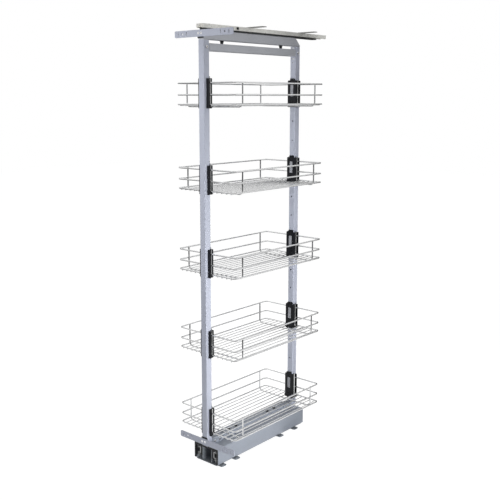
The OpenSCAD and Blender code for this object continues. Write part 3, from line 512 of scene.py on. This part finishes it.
def wire_basket_tree(bent_wire):
    """A basket of welded wire about the Z axis, with its floor rim at z = 0."""
    names = (
        "Half Width", "Half Depth", "Wire", "Floor Wire", "Floor Step", "Weld Sink", "Middle Rim",
        "Top Rim", "Rim Bend", "Stay Inset", "Stay Bend", "Leg Reach", "Leg Height", "Short Wire",
        "Weld Bead",
    )
    nodes, given, result = new_group(
        "wire_basket", "GeometryNodeTree",
        [(label, FLOAT, None) for label in names]
        + [("Floor Wires", "NodeSocketInt", 12), ("Finish", MATERIAL, None)],
        [("Geometry", GEOMETRY)],
    )
    half_w, half_d, wire, thin = (given[label] for label in names[:4])
    leg, top = given["Leg Reach"], given["Top Rim"]
    front = nodes.times(half_d, -1.0)
    radius = nodes.times(wire, 0.5)
    thin_radius = nodes.times(thin, 0.5)
    press = nodes.minus(wire, given["Weld Sink"])
    floor_z = nodes.minus(given["Weld Sink"], nodes.plus(radius, thin_radius))
    stay_x = nodes.minus(half_w, press)
    stay_y = nodes.minus(half_d, given["Stay Inset"])
    stay_z = nodes.times(floor_z, 2.0)
    leg_y = nodes.minus(half_d, press)

    def bent(corners, bend):
        ends = dict(zip(("Start", "First Bend", "Second Bend", "End"), corners))
        return nodes.group(bent_wire, {**ends, "Bend Radius": bend, "Diameter": wire})["Wire"]

    def rim_side(z):
        inner = nodes.minus(leg, radius)
        corners = ((inner, front), (half_w, front), (half_w, half_d), (inner, half_d))
        return bent([nodes.vector(x, y, z) for x, y in corners], given["Rim Bend"])

    def stay():
        far = nodes.times(stay_x, -1.0)
        corners = ((stay_x, top), (stay_x, stay_z), (far, stay_z), (far, top))
        return bent([nodes.vector(x, stay_y, z) for x, z in corners], given["Stay Bend"])

    def straight(start, end, reach):
        line = nodes.out("GeometryNodeCurvePrimitiveLine", {"Start": start, "End": end})
        return round_wire(nodes, line, reach)

    half = nodes.add("GeometryNodeJoinGeometry")
    for part in (rim_side(0.0), rim_side(given["Middle Rim"]), rim_side(top), stay()):
        nodes.put(half.inputs[0], part)
    other_half = nodes.out(
        "GeometryNodeTransform", {"Geometry": half.outputs[0], "Rotation": Euler((0, 0, math.pi))}
    )

    # The middle floor wires face the brackets and end short of them
    place_x = nodes.out("ShaderNodeSeparateXYZ", {0: nodes.out("GeometryNodeInputPosition")})
    faces_bracket = nodes.maths("LESS_THAN", nodes.maths("ABSOLUTE", place_x), nodes.plus(leg, wire))
    reaches_rim = nodes.minus(1.0, faces_bracket)

    def placed(shape, x, y, z, columns, **choice):
        """Copies of a shape on columns from -x to x and two rows at -y and y."""
        size = {"Size X": nodes.times(x, 2.0), "Size Y": nodes.times(y, 2.0)}
        grid = nodes.out("GeometryNodeMeshGrid", {**size, "Vertices X": columns, "Vertices Y": 2})
        lift = nodes.vector(z=z)
        grid = nodes.out("GeometryNodeTransform", {"Geometry": grid, "Translation": lift})
        return nodes.out("GeometryNodeInstanceOnPoints", {"Points": grid, "Instance": shape, **choice})

    count, step = given["Floor Wires"], given["Floor Step"]
    row = nodes.times(nodes.times(nodes.minus(count, 1.0), step), 0.5)
    spots = nodes.out(
        "GeometryNodeMeshLine",
        {
            "Count": count,
            "Start Location": nodes.vector(nodes.times(row, -1.0), 0.0, floor_z),
            "Offset": nodes.vector(step),
        },
    )
    reach = nodes.plus(half_d, thin_radius)
    far_end = nodes.times(reach, -1.0)
    long_wire = straight(nodes.vector(y=far_end), nodes.vector(y=reach), thin_radius)
    share = nodes.spread(faces_bracket, 1.0, nodes.maths("DIVIDE", given["Short Wire"], reach))
    floor_wires = nodes.out(
        "GeometryNodeInstanceOnPoints",
        {"Points": spots, "Instance": long_wire, "Scale": nodes.vector(1.0, share, 1.0)},
    )
    foot = nodes.times(radius, -1.0)
    leg_wire = straight(nodes.vector(z=foot), nodes.vector(z=given["Leg Height"]), radius)
    legs = placed(leg_wire, leg, leg_y, 0.0, 2)

    bead = nodes.out("GeometryNodeMeshIcoSphere", {"Radius": given["Weld Bead"], "Subdivisions": 2})
    welds = [
        placed(bead, row, half_d, nodes.plus(floor_z, thin_radius), count, Selection=reaches_rim),
        placed(bead, row, stay_y, nodes.minus(floor_z, thin_radius), count),
    ]
    half_press = nodes.times(press, 0.5)
    lap_x = nodes.minus(half_w, half_press)
    lap_y = nodes.minus(half_d, half_press)
    welds += [placed(bead, lap_x, stay_y, z, 2) for z in (given["Middle Rim"], top)]
    welds += [placed(bead, leg, lap_y, z, 2) for z in (0.0, given["Middle Rim"], top)]

    whole = nodes.add("GeometryNodeJoinGeometry")
    for part in (half.outputs[0], other_half, floor_wires, legs, *welds):
        nodes.put(whole.inputs[0], part)
    solid = nodes.out("GeometryNodeRealizeInstances", {"Geometry": whole.outputs[0]})
    # The flat ends of the wires are the only faces with more than four corners
    corners = nodes.out("GeometryNodeCornersOfFace", output="Total")
    side = nodes.maths("LESS_THAN", corners, 5.0)
    solid = nodes.out("GeometryNodeSetShadeSmooth", {"Geometry": solid, "Shade Smooth": side})
    solid = nodes.out("GeometryNodeSetMaterial", {"Geometry": solid, "Material": given["Finish"]})
    nodes.put(result["Geometry"], solid)
    return nodes.tree


def repeated_tree():
    """Copies of one shape on a set of points, each turned by the point's own angles."""
    nodes, given, result = new_group(
        "repeated_shape", "GeometryNodeTree",
        [
            ("Places", GEOMETRY, None),
            ("Shape", "NodeSocketObject", None),
            ("Size", FLOAT, 1.0),
            ("Finish", MATERIAL, None),
        ],
        [("Geometry", GEOMETRY)],
    )
    shape = nodes.out(
        "GeometryNodeObjectInfo", {"Object": given["Shape"], "As Instance": True}, output="Geometry"
    )
    turn = nodes.out("GeometryNodeInputNamedAttribute", {"Name": "turn"}, data_type="FLOAT_VECTOR")
    angles = nodes.out("FunctionNodeEulerToRotation", {0: turn})
    scale = nodes.vector(*[given["Size"]] * 3)
    copies = nodes.out(
        "GeometryNodeInstanceOnPoints",
        {"Points": given["Places"], "Instance": shape, "Rotation": angles, "Scale": scale},
    )
    solid = nodes.out("GeometryNodeRealizeInstances", {"Geometry": copies})
    solid = nodes.out("GeometryNodeSetMaterial", {"Geometry": solid, "Material": given["Finish"]})
    nodes.put(result["Geometry"], solid)
    return nodes.tree


def grown_mesh(name, tree, values, places):
    """The plain mesh that a geometry node tree makes on the places, each a point and its turn."""
    points = bpy.data.meshes.new(name + "_places")
    points.from_pydata([spot for spot, _ in places], [], [])
    turns = points.attributes.new("turn", "FLOAT_VECTOR", "POINT")
    for value, (_, turn) in zip(turns.data, places):
        value.vector = turn
    holder = bpy.data.objects.new(name + "_holder", points)
    bpy.context.scene.collection.objects.link(holder)
    modifier = holder.modifiers.new("nodes", "NODES")
    modifier.node_group = tree
    identifiers = {s.name: s.identifier for s in tree.interface.items_tree if s.in_out == "INPUT"}
    for label, value in values.items():
        modifier[identifiers[label]] = value
    evaluated = holder.evaluated_get(bpy.context.evaluated_depsgraph_get())
    mesh = bpy.data.meshes.new_from_object(evaluated)
    mesh.name = name
    bpy.data.objects.remove(holder)
    bpy.data.meshes.remove(points)
    return mesh


def repeat(name, shape, places, slot):
    """One mesh of a shape repeated at the places, in a finish."""
    pattern = bpy.data.objects.new(name + "_pattern", shape)
    bpy.context.scene.collection.objects.link(pattern)
    tree = bpy.data.node_groups.get("repeated_shape") or repeated_tree()
    values = {"Shape": pattern, "Size": 1.0, "Finish": finish(slot)}
    mesh = grown_mesh(name, tree, values, places)
    bpy.data.objects.remove(pattern)
    return mesh


def facing(direction):
    """The turn that points a shape's Z axis along the direction."""
    return Vector(direction).to_track_quat("Z", "Y").to_euler()


# Settings


def length(label, text, value):
    """A size in metres."""
    return FloatProperty(name=label, description=text, default=value, unit="LENGTH", precision=4)


def power(label, text, value):
    """The power of a lamp."""
    return FloatProperty(name=label, description=text, default=value, unit="POWER")


def degrees(label, text, value):
    """An angle, given in degrees."""
    return FloatProperty(name=label, description=text, default=math.radians(value), subtype="ANGLE")


def tint(label, text, value):
    """A colour."""
    return FloatVectorProperty(
        name=label, description=text, default=value, subtype="COLOR", size=3, min=0.0, max=1.0
    )


class PantryBasketSizes(bpy.types.PropertyGroup):
    """Sizes of the wire baskets."""

    wire: length("Rim wire", "Diameter of the rims, stays and legs", 5 * MM)
    floor_wire: length("Floor wire", "Diameter of the floor wires", 3 * MM)
    floor_wires: IntProperty(name="Floor wires", description="Floor wires in a basket", default=12)
    floor_step: length("Floor step", "Spacing of the floor wires", 20.6 * MM)
    wire_gap: length("Floor wire gap", "Gap between the middle floor wires and the brackets", 1.5 * MM)
    weld_sink: length("Weld sink", "Depth that crossing wires are pressed together", 0.6 * MM)
    weld_bead: length("Weld bead", "Radius of the beads at the welds", 1.7 * MM)
    rim_mid: length("Middle rim", "Height of the middle rim above the floor rim", 31.7 * MM)
    rim_top: length("Top rim", "Height of the top rim above the floor rim", 69.7 * MM)
    rim_bend: length("Rim bend", "Corner radius of the rims", 12 * MM)
    stay_in: length("Stay inset", "Distance of the upright wires from the basket's ends", 43 * MM)
    stay_bend: length("Stay bend", "Bend radius at the foot of the upright wires", 14 * MM)
    leg_reach: length("Leg reach", "Distance of the legs from the middle line", 18.1 * MM)


class PantryFastenerSizes(bpy.types.PropertyGroup):
    """Sizes of the screw, bolt and rivet heads that the frame's boxes don't give."""

    small_head: length("Small head height", "Head height of the bracket screws", 2.5 * MM)
    bolt_head: length("Bolt head height", "Head height of the shoe bolts", 3.3 * MM)
    lock_head: length("Lock head height", "Head height of the clamping screws", 4 * MM)
    socket_share: FloatProperty(
        name="Socket share", description="Width of a hexagon socket as a share of its head", default=0.5
    )
    arm_share: FloatProperty(
        name="Cross share", description="Length of a cross recess as a share of its head", default=0.3
    )
    arm_width: length("Cross width", "Width of a cross recess's arms", 1.1 * MM)
    rivet_head: length("Rivet head height", "Height of a domed rivet head", 1.2 * MM)


class PantryColours(bpy.types.PropertyGroup):
    """Colours of the finishes."""

    frame_paint: tint("Frame paint", "Silver paint of the posts and door bars", (0.51, 0.54, 0.64))
    head_paint: tint("Head paint", "Silver paint of the top beam and the crossbar", (0.515, 0.53, 0.575))
    cover_paint: tint("Cover paint", "Silver paint of the carriage and lower beam", (0.375, 0.41, 0.475))
    base_paint: tint("Base paint", "Grey paint of the base plate", (0.34, 0.37, 0.41))
    slide_steel: tint("Slide steel", "Plated steel of the slides and spigots", (0.70, 0.71, 0.73))
    zinc: tint("Zinc", "Plated ceiling rail", (0.80, 0.80, 0.76))
    # Zinc darkened as painted shade on the straps' undersides
    strap_steel: tint("Strap steel", "Zinc straps over the ceiling rail, darkened as painted shade", (0.30, 0.30, 0.285))
    bright_steel: tint("Bright steel", "Bright screws, bolts, rivets and pins", (0.76, 0.76, 0.77))
    dark_steel: tint("Dark steel", "Blackened runner bar, nuts, bolts and screws", (0.030, 0.031, 0.034))
    # The black pads between the door bars and the posts are spacers in their own black and also stand for
    # the shade in that gap: partly painted shade
    black_plastic: tint("Black plastic", "Brackets, pads and trim", (0.010, 0.011, 0.014))
    grey_plastic: tint("Grey plastic", "Light strips in the brackets", (0.36, 0.37, 0.40))
    nylon: tint("Nylon", "Guide rollers and rail plugs", (0.76, 0.75, 0.70))
    chrome_wire: tint("Chrome wire", "Baskets", (0.77, 0.775, 0.78))


class PantryStudio(bpy.types.PropertyGroup):
    """Camera and light of the studio."""

    camera_place: FloatVectorProperty(
        name="Camera place", description="Where the camera stands", default=(1.7831, -2.0818, 1.2559),
        subtype="TRANSLATION", unit="LENGTH",
    )
    camera_turn: degrees("Camera turn", "Heading of the camera about the upright axis", 41.136)
    camera_tilt: degrees("Camera tilt", "Tilt of the camera below the horizon", 9.961)
    lens: FloatProperty(
        name="Lens", description="Focal length on a 36 mm sensor, in millimetres", default=56.313
    )
    shift: FloatVectorProperty(
        name="Shift", description="Shift of the picture, as a share of its width",
        default=(0.0106, -0.03), size=2,
    )
    sky: FloatProperty(name="Sky", description="Strength of the even light all round", default=0.30)
    key: power("Key lamp", "Power of the lamp at the front left", 2.0)
    fill: power("Fill lamp", "Power of the lamp at the right", 4.8)
    top: power("Top lamp", "Power of the lamp overhead", 9.5)
    back: power("Back lamp", "Power of the lamp behind on the left", 12.0)


# Operators


class PANTRY_OT_finishes(bpy.types.Operator):
    """Makes every finish and paints the carried-over metalwork with its own"""

    bl_idname = "pantry.finishes"
    bl_label = "Finishes"

    def execute(self, context):
        colours = context.scene.pantry_colours
        for name, values in FINISHES.items():
            make_finish(name, getattr(colours, name), **values)
        # Painted shade inside the posts: their middle along Y and their half width less the paint
        low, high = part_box("rear_post")
        post = ((low.y + high.y) / 2, (high.x - low.x) / 2 - PAINT)
        make_finish("post_paint", colours.frame_paint, post=post, **FINISHES["frame_paint"])
        for name, node in frame["nodes"].items():
            for place in node.material_slots:
                place.material = finish(OWN_FINISH.get(name, SLOTS[name]))
        return {"FINISHED"}


class PANTRY_OT_baskets(bpy.types.Operator):
    """Grows the welded wire baskets"""

    bl_idname = "pantry.baskets"
    bl_label = "Wire baskets"

    def execute(self, context):
        sizes = context.scene.pantry_baskets
        low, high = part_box(BASKETS[0])
        stay_z = 2 * sizes.weld_sink - sizes.wire - sizes.floor_wire
        floor_low = stay_z - sizes.wire / 2
        bracket_face = -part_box("front_bracket_1")[1].y
        values = {
            "Half Width": high.x - sizes.wire / 2,
            "Half Depth": high.y - sizes.wire / 2,
            "Wire": sizes.wire,
            "Floor Wire": sizes.floor_wire,
            "Floor Step": sizes.floor_step,
            "Weld Sink": sizes.weld_sink,
            "Middle Rim": sizes.rim_mid,
            "Top Rim": sizes.rim_top,
            "Rim Bend": sizes.rim_bend,
            "Stay Inset": sizes.stay_in,
            "Stay Bend": sizes.stay_bend,
            "Leg Reach": sizes.leg_reach,
            "Leg Height": high.z - low.z + floor_low,
            "Short Wire": bracket_face - sizes.wire_gap,
            "Weld Bead": sizes.weld_bead,
            "Floor Wires": sizes.floor_wires,
            "Finish": finish("chrome_wire"),
        }
        tree = wire_basket_tree(bent_wire_tree())
        pattern = grown_mesh("basket_wires", tree, values, [((0, 0, 0), (0, 0, 0))])
        for body in BASKETS:
            mesh = pattern.copy()
            mesh.transform(Matrix.Translation((0, 0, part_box(body)[0].z - floor_low)))
            add_piece("wire_" + body, mesh, body, "chrome_wire", body)
        return {"FINISHED"}


# Heads from their underside to their crown, as shares of their radius and of their height below the crown
PAN_HEAD = ((0.97, 1.0), (1.0, 0.9), (1.0, 0.45), (0.9, 0.15), (0.7, 0.0))
SOCKET_HEAD = ((0.96, 1.0), (1.0, 0.9), (1.0, 0.4), (0.82, 0.08), (0.7, 0.0))
# Rim of a countersunk head, as shares of its radius and depths below its top
SUNK_RIM = ((0.98, 0.15 * MM), (0.95, 0.0))
# Angles of the rings on a rivet's dome, in radians
DOME_ANGLES = (0, 0.35, 0.7, 1.05, 1.35)
# Shank radius as a share of the head's
SCREW_SHANK = 0.58
BOLT_SHANK = 0.55
RIVET_SHANK = 0.57
# End of a shank: a screw's tip as shares of the shank's radius, across and along, and a bolt's bevel
TIP = (0.6, 0.5)
BOLT_END = 0.9
BOLT_BEVEL = 0.3 * MM
# Cross recess: length and width at its bottom as shares of those at its mouth, its depth and its pit
CROSS_TAPER = (0.6, 0.8)
CROSS_DEPTH = 1.3 * MM
CROSS_PIT = 0.2 * MM
# Hexagon socket: depths of its walls and of its bottom as shares of the head's height, and its pit's radius
SOCKET_DEPTHS = (0.6, 0.7)
SOCKET_PIT = 0.3 * MM
SCREW_SIDES = 48
RIVET_SIDES = 24


class PANTRY_OT_fasteners(bpy.types.Operator):
    """Makes the screws, bolts and rivets with their recesses and domes"""

    bl_idname = "pantry.fasteners"
    bl_label = "Screws, bolts and rivets"

    def execute(self, context):
        sizes = context.scene.pantry_fasteners
        self.screws("bracket_screws", "y", sizes.small_head, sizes)
        self.screws("bar_screws", "-y", None, sizes)
        self.bolts("lock_screws", "x", sizes.lock_head, sizes, False)
        self.bolts("shoe_bolts", "x", sizes.bolt_head, sizes, True)
        self.rivets("base_rail_rivets", "x", sizes, True)
        self.rivets("strap_rivets", "-z", sizes, False)
        return {"FINISHED"}

    def places(self, node, axis):
        """Each solid's lower end and turn, with its length and radius; y points to the frame's middle."""
        found = []
        k = "xyz".index(axis[-1])
        for low, high in solids(node):
            middle = (low + high) / 2
            sign = -1.0 if axis[0] == "-" else 1.0
            if axis == "y":
                sign = -math.copysign(1.0, middle.y)
            direction = Vector((0, 0, 0))
            direction[k] = sign
            tail = middle.copy()
            tail[k] = low[k] if sign > 0 else high[k]
            found.append((tail, facing(direction)))
        size = high - low
        return found, size[k], max(size[(k + 1) % 3], size[(k + 2) % 3]) / 2

    def screws(self, node, axis, head, sizes):
        """Screws with a cross recess: pan heads, or countersunk where no head height is given."""
        spots, span, radius = self.places(node, axis)
        shank = radius * SCREW_SHANK
        arm, width = 2 * radius * sizes.arm_share, sizes.arm_width
        rings = [(shank * TIP[0], 0.0), (shank, shank * TIP[1])]
        if head:
            rings += [(shank, span - head)]
            rings += [(radius * share, span - head * depth) for share, depth in PAN_HEAD]
        else:
            rings += [(shank, span - (radius - shank))]
            rings += [(radius * share, span - depth) for share, depth in SUNK_RIM]
        rings += [
            (cross(arm, width), span),
            (cross(arm * CROSS_TAPER[0], width * CROSS_TAPER[1]), span - CROSS_DEPTH),
            (CROSS_PIT, span - CROSS_DEPTH - CROSS_PIT),
        ]
        self.add_copies(node, "_crossed", rings, SCREW_SIDES, spots, "frame")

    def bolts(self, node, axis, head, sizes, both):
        """Bolts with a hexagon socket, in one head or in both."""
        spots, span, radius = self.places(node, axis)
        shank = radius * BOLT_SHANK
        socket = hexagon(2 * radius * sizes.socket_share)
        walls, bottom = SOCKET_DEPTHS
        rings = [(shank, head)]
        rings += [(radius * share, head * depth) for share, depth in SOCKET_HEAD]
        rings += [(socket, 0.0), (socket, head * walls), (SOCKET_PIT, head * bottom)]
        upper = [(reach, span - depth) for reach, depth in rings]
        lower = rings[::-1] if both else [(shank * BOLT_END, 0.0), (shank, BOLT_BEVEL)]
        self.add_copies(node, "_socketed", lower + upper, SCREW_SIDES, spots, "frame")

    def rivets(self, node, axis, sizes, both):
        """Rivets with a domed head, at one end or at both."""
        spots, span, radius = self.places(node, axis)
        head = sizes.rivet_head
        shank = radius * RIVET_SHANK
        dome = [(radius * math.cos(a), head * (1 - math.sin(a))) for a in DOME_ANGLES]
        upper = [(shank, span - head)] + [(reach, span - depth) for reach, depth in dome]
        lower = dome[::-1] + [(shank, head)] if both else [(shank, 0.0)]
        self.add_copies(node, "_domed", lower + upper, RIVET_SIDES, spots, "base")

    def add_copies(self, node, ending, rings, sides, spots, body):
        """Puts a turned shape on every spot, in place of the node."""
        name = node + ending
        mesh = repeat(name, turned(node + "_shape", rings, sides), spots, SLOTS[node])
        add_piece(name, mesh, body, SLOTS[node], node)


ROLLER_SIDES = 64


class PANTRY_OT_rollers(bpy.types.Operator):
    """Turns the dished nylon guide rollers"""

    bl_idname = "pantry.rollers"
    bl_label = "Guide rollers"

    def execute(self, context):
        for body in ("front_roller", "rear_roller"):
            node = body.replace("_roller", "_guide_roller")
            low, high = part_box(node)
            radius, height = (high.x - low.x) / 2, high.z - low.z
            mesh = self.roller(body + "_turned", radius, height)
            mesh.transform(Matrix.Translation(((low.x + high.x) / 2, (low.y + high.y) / 2, low.z)))
            mesh.materials.append(finish("nylon"))
            add_piece(body + "_turned", mesh, body, "nylon", node)
        return {"FINISHED"}

    def roller(self, name, radius, height):
        """A ring with a rounded tread, a dished web on both faces and a bore."""
        bore, hub, web = 2.55 * MM, 5.2 * MM, radius - 2.6 * MM
        dish, bevel = 1.2 * MM, 0.3 * MM
        edge = 0.8 * MM
        soft = 0.3 * edge
        lower = [
            (bore, bevel), (bore + bevel, 0.0), (hub, 0.0), (hub + bevel, dish), (web - bevel, dish),
            (web, 0.0), (radius - edge, 0.0), (radius - soft, soft), (radius, edge),
        ]
        upper = [(reach, height - z) for reach, z in reversed(lower)]
        return turned(name, lower + upper, ROLLER_SIDES, hollow=True)


BLOCK_SIDES = 96


class PANTRY_OT_rail_ends(bpy.types.Operator):
    """Moulds the ceiling rail's end plugs and the catch on its side"""

    bl_idname = "pantry.rail_ends"
    bl_label = "Rail plugs and catch"

    def execute(self, context):
        rail_low, rail_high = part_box("ceiling_rail")
        plugs, catches = [], []
        for low, high in solids("rail_stops"):
            middle, size = (low + high) / 2, high - low
            if high.x > rail_high.x:
                catch = self.moulded("catch_shape", size.y, size.z, size.x)
                catches.append(((low.x, middle.y, middle.z), facing((1, 0, 0))))
            else:
                plug = self.moulded("plug_shape", size.x, size.z, size.y)
                front = middle.y < (rail_low.y + rail_high.y) / 2
                inner, outwards = (high.y, -1) if front else (low.y, 1)
                plugs.append(((middle.x, inner, middle.z), facing((0, outwards, 0))))
        for name, shape, spots, slot in (
            ("rail_plugs", plug, plugs, "nylon"), ("rail_catch", catch, catches, "black_plastic")
        ):
            add_piece(name, repeat(name, shape, spots, slot), "base", slot, "rail_stops")
        return {"FINISHED"}

    def moulded(self, name, width, height, span):
        """A block with softened edges and a blind hole in its outer end."""
        edge, hole, bottom = 0.5 * MM, 1.6 * MM, span * 0.4
        whole = rectangle(width, height)
        inner = rectangle(width - 2 * edge, height - 2 * edge)
        rings = [(inner, 0.0), (whole, edge), (whole, span - edge), (inner, span)]
        rings += [(hole + edge, span), (hole, span - edge), (hole, bottom)]
        return turned(name, rings, BLOCK_SIDES)


# Width of the camera's sensor in millimetres
SENSOR = 36.0
# Place, aim, size and spread in degrees of each lamp
LAMPS = {
    "key": ((-0.55, -1.5, 1.25), (0.0, -0.24, 1.1), 0.6, 70),
    "fill": ((1.8, -0.6, 0.5), (0.0, -0.1, 0.55), 0.8, 60),
    "top": ((0.2, -0.3, 3.4), (0.0, 0.0, 0.0), 1.8, 180),
    "back": ((-1.9, 1.7, 1.0), (0.0, 0.1, 0.7), 1.4, 90),
}
# Flags, which are boards round the set: first and last heading in degrees from +X towards +Y, where they
# begin on the floor and where they turn up, their height and their tone
FLAGS = (
    (-105.0, 5.0, 1.1, 2.9, 1.9, 0.04),
    (5.0, 100.0, 1.1, 2.9, 1.5, 0.8),
    (100.0, 165.0, 1.1, 2.9, 1.7, 0.04),
    (165.0, 255.0, 1.1, 2.9, 1.0, 0.1),
    (60.0, 75.0, 0.15, 0.5, 2.4, 0.01),
)
FLAG_LIFT = 0.002
FLAG_STEPS = 24
FLOOR_WIDTH = 20.0
# The floor for light that bounces off it, then for the camera: its colour and the glow that whitens it
FLOOR_PALE = (0.6, 0.6, 0.6, 1.0)
FLOOR_SHADE = (0.25, 0.25, 0.25, 1.0)
FLOOR_GLOW = 0.93


class PANTRY_OT_studio(bpy.types.Operator):
    """Sets up the camera, the white floor, the flags that the chrome mirrors and the lamps"""

    bl_idname = "pantry.studio"
    bl_label = "Studio"

    def execute(self, context):
        studio = context.scene.pantry_studio
        self.camera(context, studio)
        self.world(context, studio)
        self.floor(context)
        self.flags(context)
        for name, values in LAMPS.items():
            self.lamp(context, name + "_lamp", getattr(studio, name), *values)
        context.scene.view_settings.view_transform = "Standard"
        return {"FINISHED"}

    def camera(self, context, studio):
        """The camera at the photograph's viewing angle."""
        data = bpy.data.cameras.new("camera")
        data.sensor_fit = "HORIZONTAL"
        data.sensor_width = SENSOR
        data.lens = studio.lens
        data.shift_x, data.shift_y = studio.shift
        camera = bpy.data.objects.new("camera", data)
        camera.location = studio.camera_place
        camera.rotation_euler = (math.radians(90) - studio.camera_tilt, 0.0, studio.camera_turn)
        context.scene.collection.objects.link(camera)
        context.scene.camera = camera

    def seen(self, nodes):
        """1 for rays from the camera and from mirror-like or clear surfaces, else 0."""
        path = nodes.add("ShaderNodeLightPath").outputs
        seen = nodes.maths("MAXIMUM", path["Is Camera Ray"], path["Is Glossy Ray"])
        return nodes.maths("MAXIMUM", seen, path["Is Transmission Ray"])

    def world(self, context, studio):
        """An even light all round, which looks white."""
        world = bpy.data.worlds.new("white_studio")
        world.use_nodes = True
        context.scene.world = world
        nodes = Nodes(world.node_tree)
        lit = world.node_tree.nodes["Background"]
        lit.inputs["Color"].default_value = WHITE
        lit.inputs["Strength"].default_value = studio.sky
        white = nodes.out("ShaderNodeBackground", {"Color": WHITE, "Strength": 1.0})
        either = nodes.out("ShaderNodeMixShader", {0: self.seen(nodes), 1: lit.outputs[0], 2: white})
        nodes.put(world.node_tree.nodes["World Output"].inputs["Surface"], either)

    def floor(self, context):
        """A floor that looks white and keeps the object's shadow."""
        paint = bpy.data.materials.new("studio_floor")
        paint.use_nodes = True
        nodes = Nodes(paint.node_tree)
        paint.node_tree.nodes.remove(paint.node_tree.nodes["Principled BSDF"])
        pale = nodes.out("ShaderNodeBsdfDiffuse", {"Color": FLOOR_PALE})
        shadowed = nodes.out("ShaderNodeBsdfDiffuse", {"Color": FLOOR_SHADE})
        glow = nodes.out("ShaderNodeEmission", {"Color": WHITE, "Strength": FLOOR_GLOW})
        white = nodes.out("ShaderNodeAddShader", {0: shadowed, 1: glow})
        either = nodes.out("ShaderNodeMixShader", {0: self.seen(nodes), 1: pale, 2: white})
        nodes.put(paint.node_tree.nodes["Material Output"].inputs["Surface"], either)
        half = FLOOR_WIDTH / 2
        corners = [(-half, -half, 0.0), (half, -half, 0.0), (half, half, 0.0), (-half, half, 0.0)]
        mesh = bpy.data.meshes.new("studio_floor")
        mesh.from_pydata(corners, [], [(0, 1, 2, 3)])
        mesh.materials.append(paint)
        made = bpy.data.objects.new("studio_floor", mesh)
        context.scene.collection.objects.link(made)

    def flags(self, context):
        """Boards round the set, each over a span of headings, which only mirror-like surfaces show."""
        mesh = bpy.data.meshes.new("studio_flags")
        shape = bmesh.new()
        for i, (start, end, near, far, height, tone) in enumerate(FLAGS):
            mesh.materials.append(self.flag_material(tone))
            turns = [math.radians(start + (end - start) * k / FLAG_STEPS) for k in range(FLAG_STEPS + 1)]
            rows = [
                [shape.verts.new((reach * math.cos(a), reach * math.sin(a), z)) for a in turns]
                for reach, z in ((near, FLAG_LIFT), (far, FLAG_LIFT), (far, height))
            ]
            for lower, upper in zip(rows, rows[1:]):
                for k in range(FLAG_STEPS):
                    face = shape.faces.new((lower[k], upper[k], upper[k + 1], lower[k + 1]))
                    face.material_index = i
        shape.to_mesh(mesh)
        shape.free()
        flags = bpy.data.objects.new("studio_flags", mesh)
        flags.visible_camera = False
        flags.visible_diffuse = False
        flags.visible_shadow = False
        flags.visible_transmission = False
        context.scene.collection.objects.link(flags)

    def flag_material(self, tone):
        """An even grey of that tone, whatever the light."""
        made = bpy.data.materials.new("studio_flag")
        made.use_nodes = True
        shader = made.node_tree.nodes["Principled BSDF"]
        shader.inputs["Base Color"].default_value = BLACK
        shader.inputs["Specular IOR Level"].default_value = 0.0
        shader.inputs["Emission Color"].default_value = WHITE
        shader.inputs["Emission Strength"].default_value = tone
        return made

    def lamp(self, context, name, watts, place, aim, size, spread):
        """A soft box that lights a cone of the spread, in degrees, about its aim."""
        data = bpy.data.lights.new(name, "AREA")
        data.energy = watts
        data.size = size
        data.spread = math.radians(spread)
        lamp = bpy.data.objects.new(name, data)
        lamp.visible_camera = False
        lamp.visible_glossy = False
        lamp.location = place
        lamp.rotation_euler = (Vector(aim) - Vector(place)).to_track_quat("-Z", "Y").to_euler()
        context.scene.collection.objects.link(lamp)


OPERATORS = (
    PANTRY_OT_finishes, PANTRY_OT_baskets, PANTRY_OT_fasteners, PANTRY_OT_rollers, PANTRY_OT_rail_ends,
    PANTRY_OT_studio,
)
SETTINGS = {
    "pantry_baskets": PantryBasketSizes,
    "pantry_fasteners": PantryFastenerSizes,
    "pantry_colours": PantryColours,
    "pantry_studio": PantryStudio,
}


class PANTRY_PT_panel(bpy.types.Panel):
    """Lists the pieces of the pantry frame and their settings"""

    bl_idname = "PANTRY_PT_panel"
    bl_label = "Pantry frame"
    bl_space_type = "VIEW_3D"
    bl_region_type = "UI"
    bl_category = "Pantry"

    def draw(self, context):
        for operator in OPERATORS:
            self.layout.operator(operator.bl_idname)
        for name, group in SETTINGS.items():
            box = self.layout.box()
            for label in group.__annotations__:
                box.prop(getattr(context.scene, name), label)


def register():
    """Registers the settings, the operators and the panel."""
    for made in (*SETTINGS.values(), *OPERATORS, PANTRY_PT_panel):
        bpy.utils.register_class(made)
    for name, group in SETTINGS.items():
        setattr(bpy.types.Scene, name, PointerProperty(type=group))


def unregister():
    """Takes away what register added."""
    for name in SETTINGS:
        delattr(bpy.types.Scene, name)
    for made in (PANTRY_PT_panel, *reversed(OPERATORS), *SETTINGS.values()):
        bpy.utils.unregister_class(made)


def main():
    """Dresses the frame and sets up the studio."""
    register()
    bpy.ops.pantry.finishes()
    bpy.ops.pantry.baskets()
    bpy.ops.pantry.fasteners()
    bpy.ops.pantry.rollers()
    bpy.ops.pantry.rail_ends()
    bpy.ops.pantry.studio()


if __name__ == "__main__":
    main()
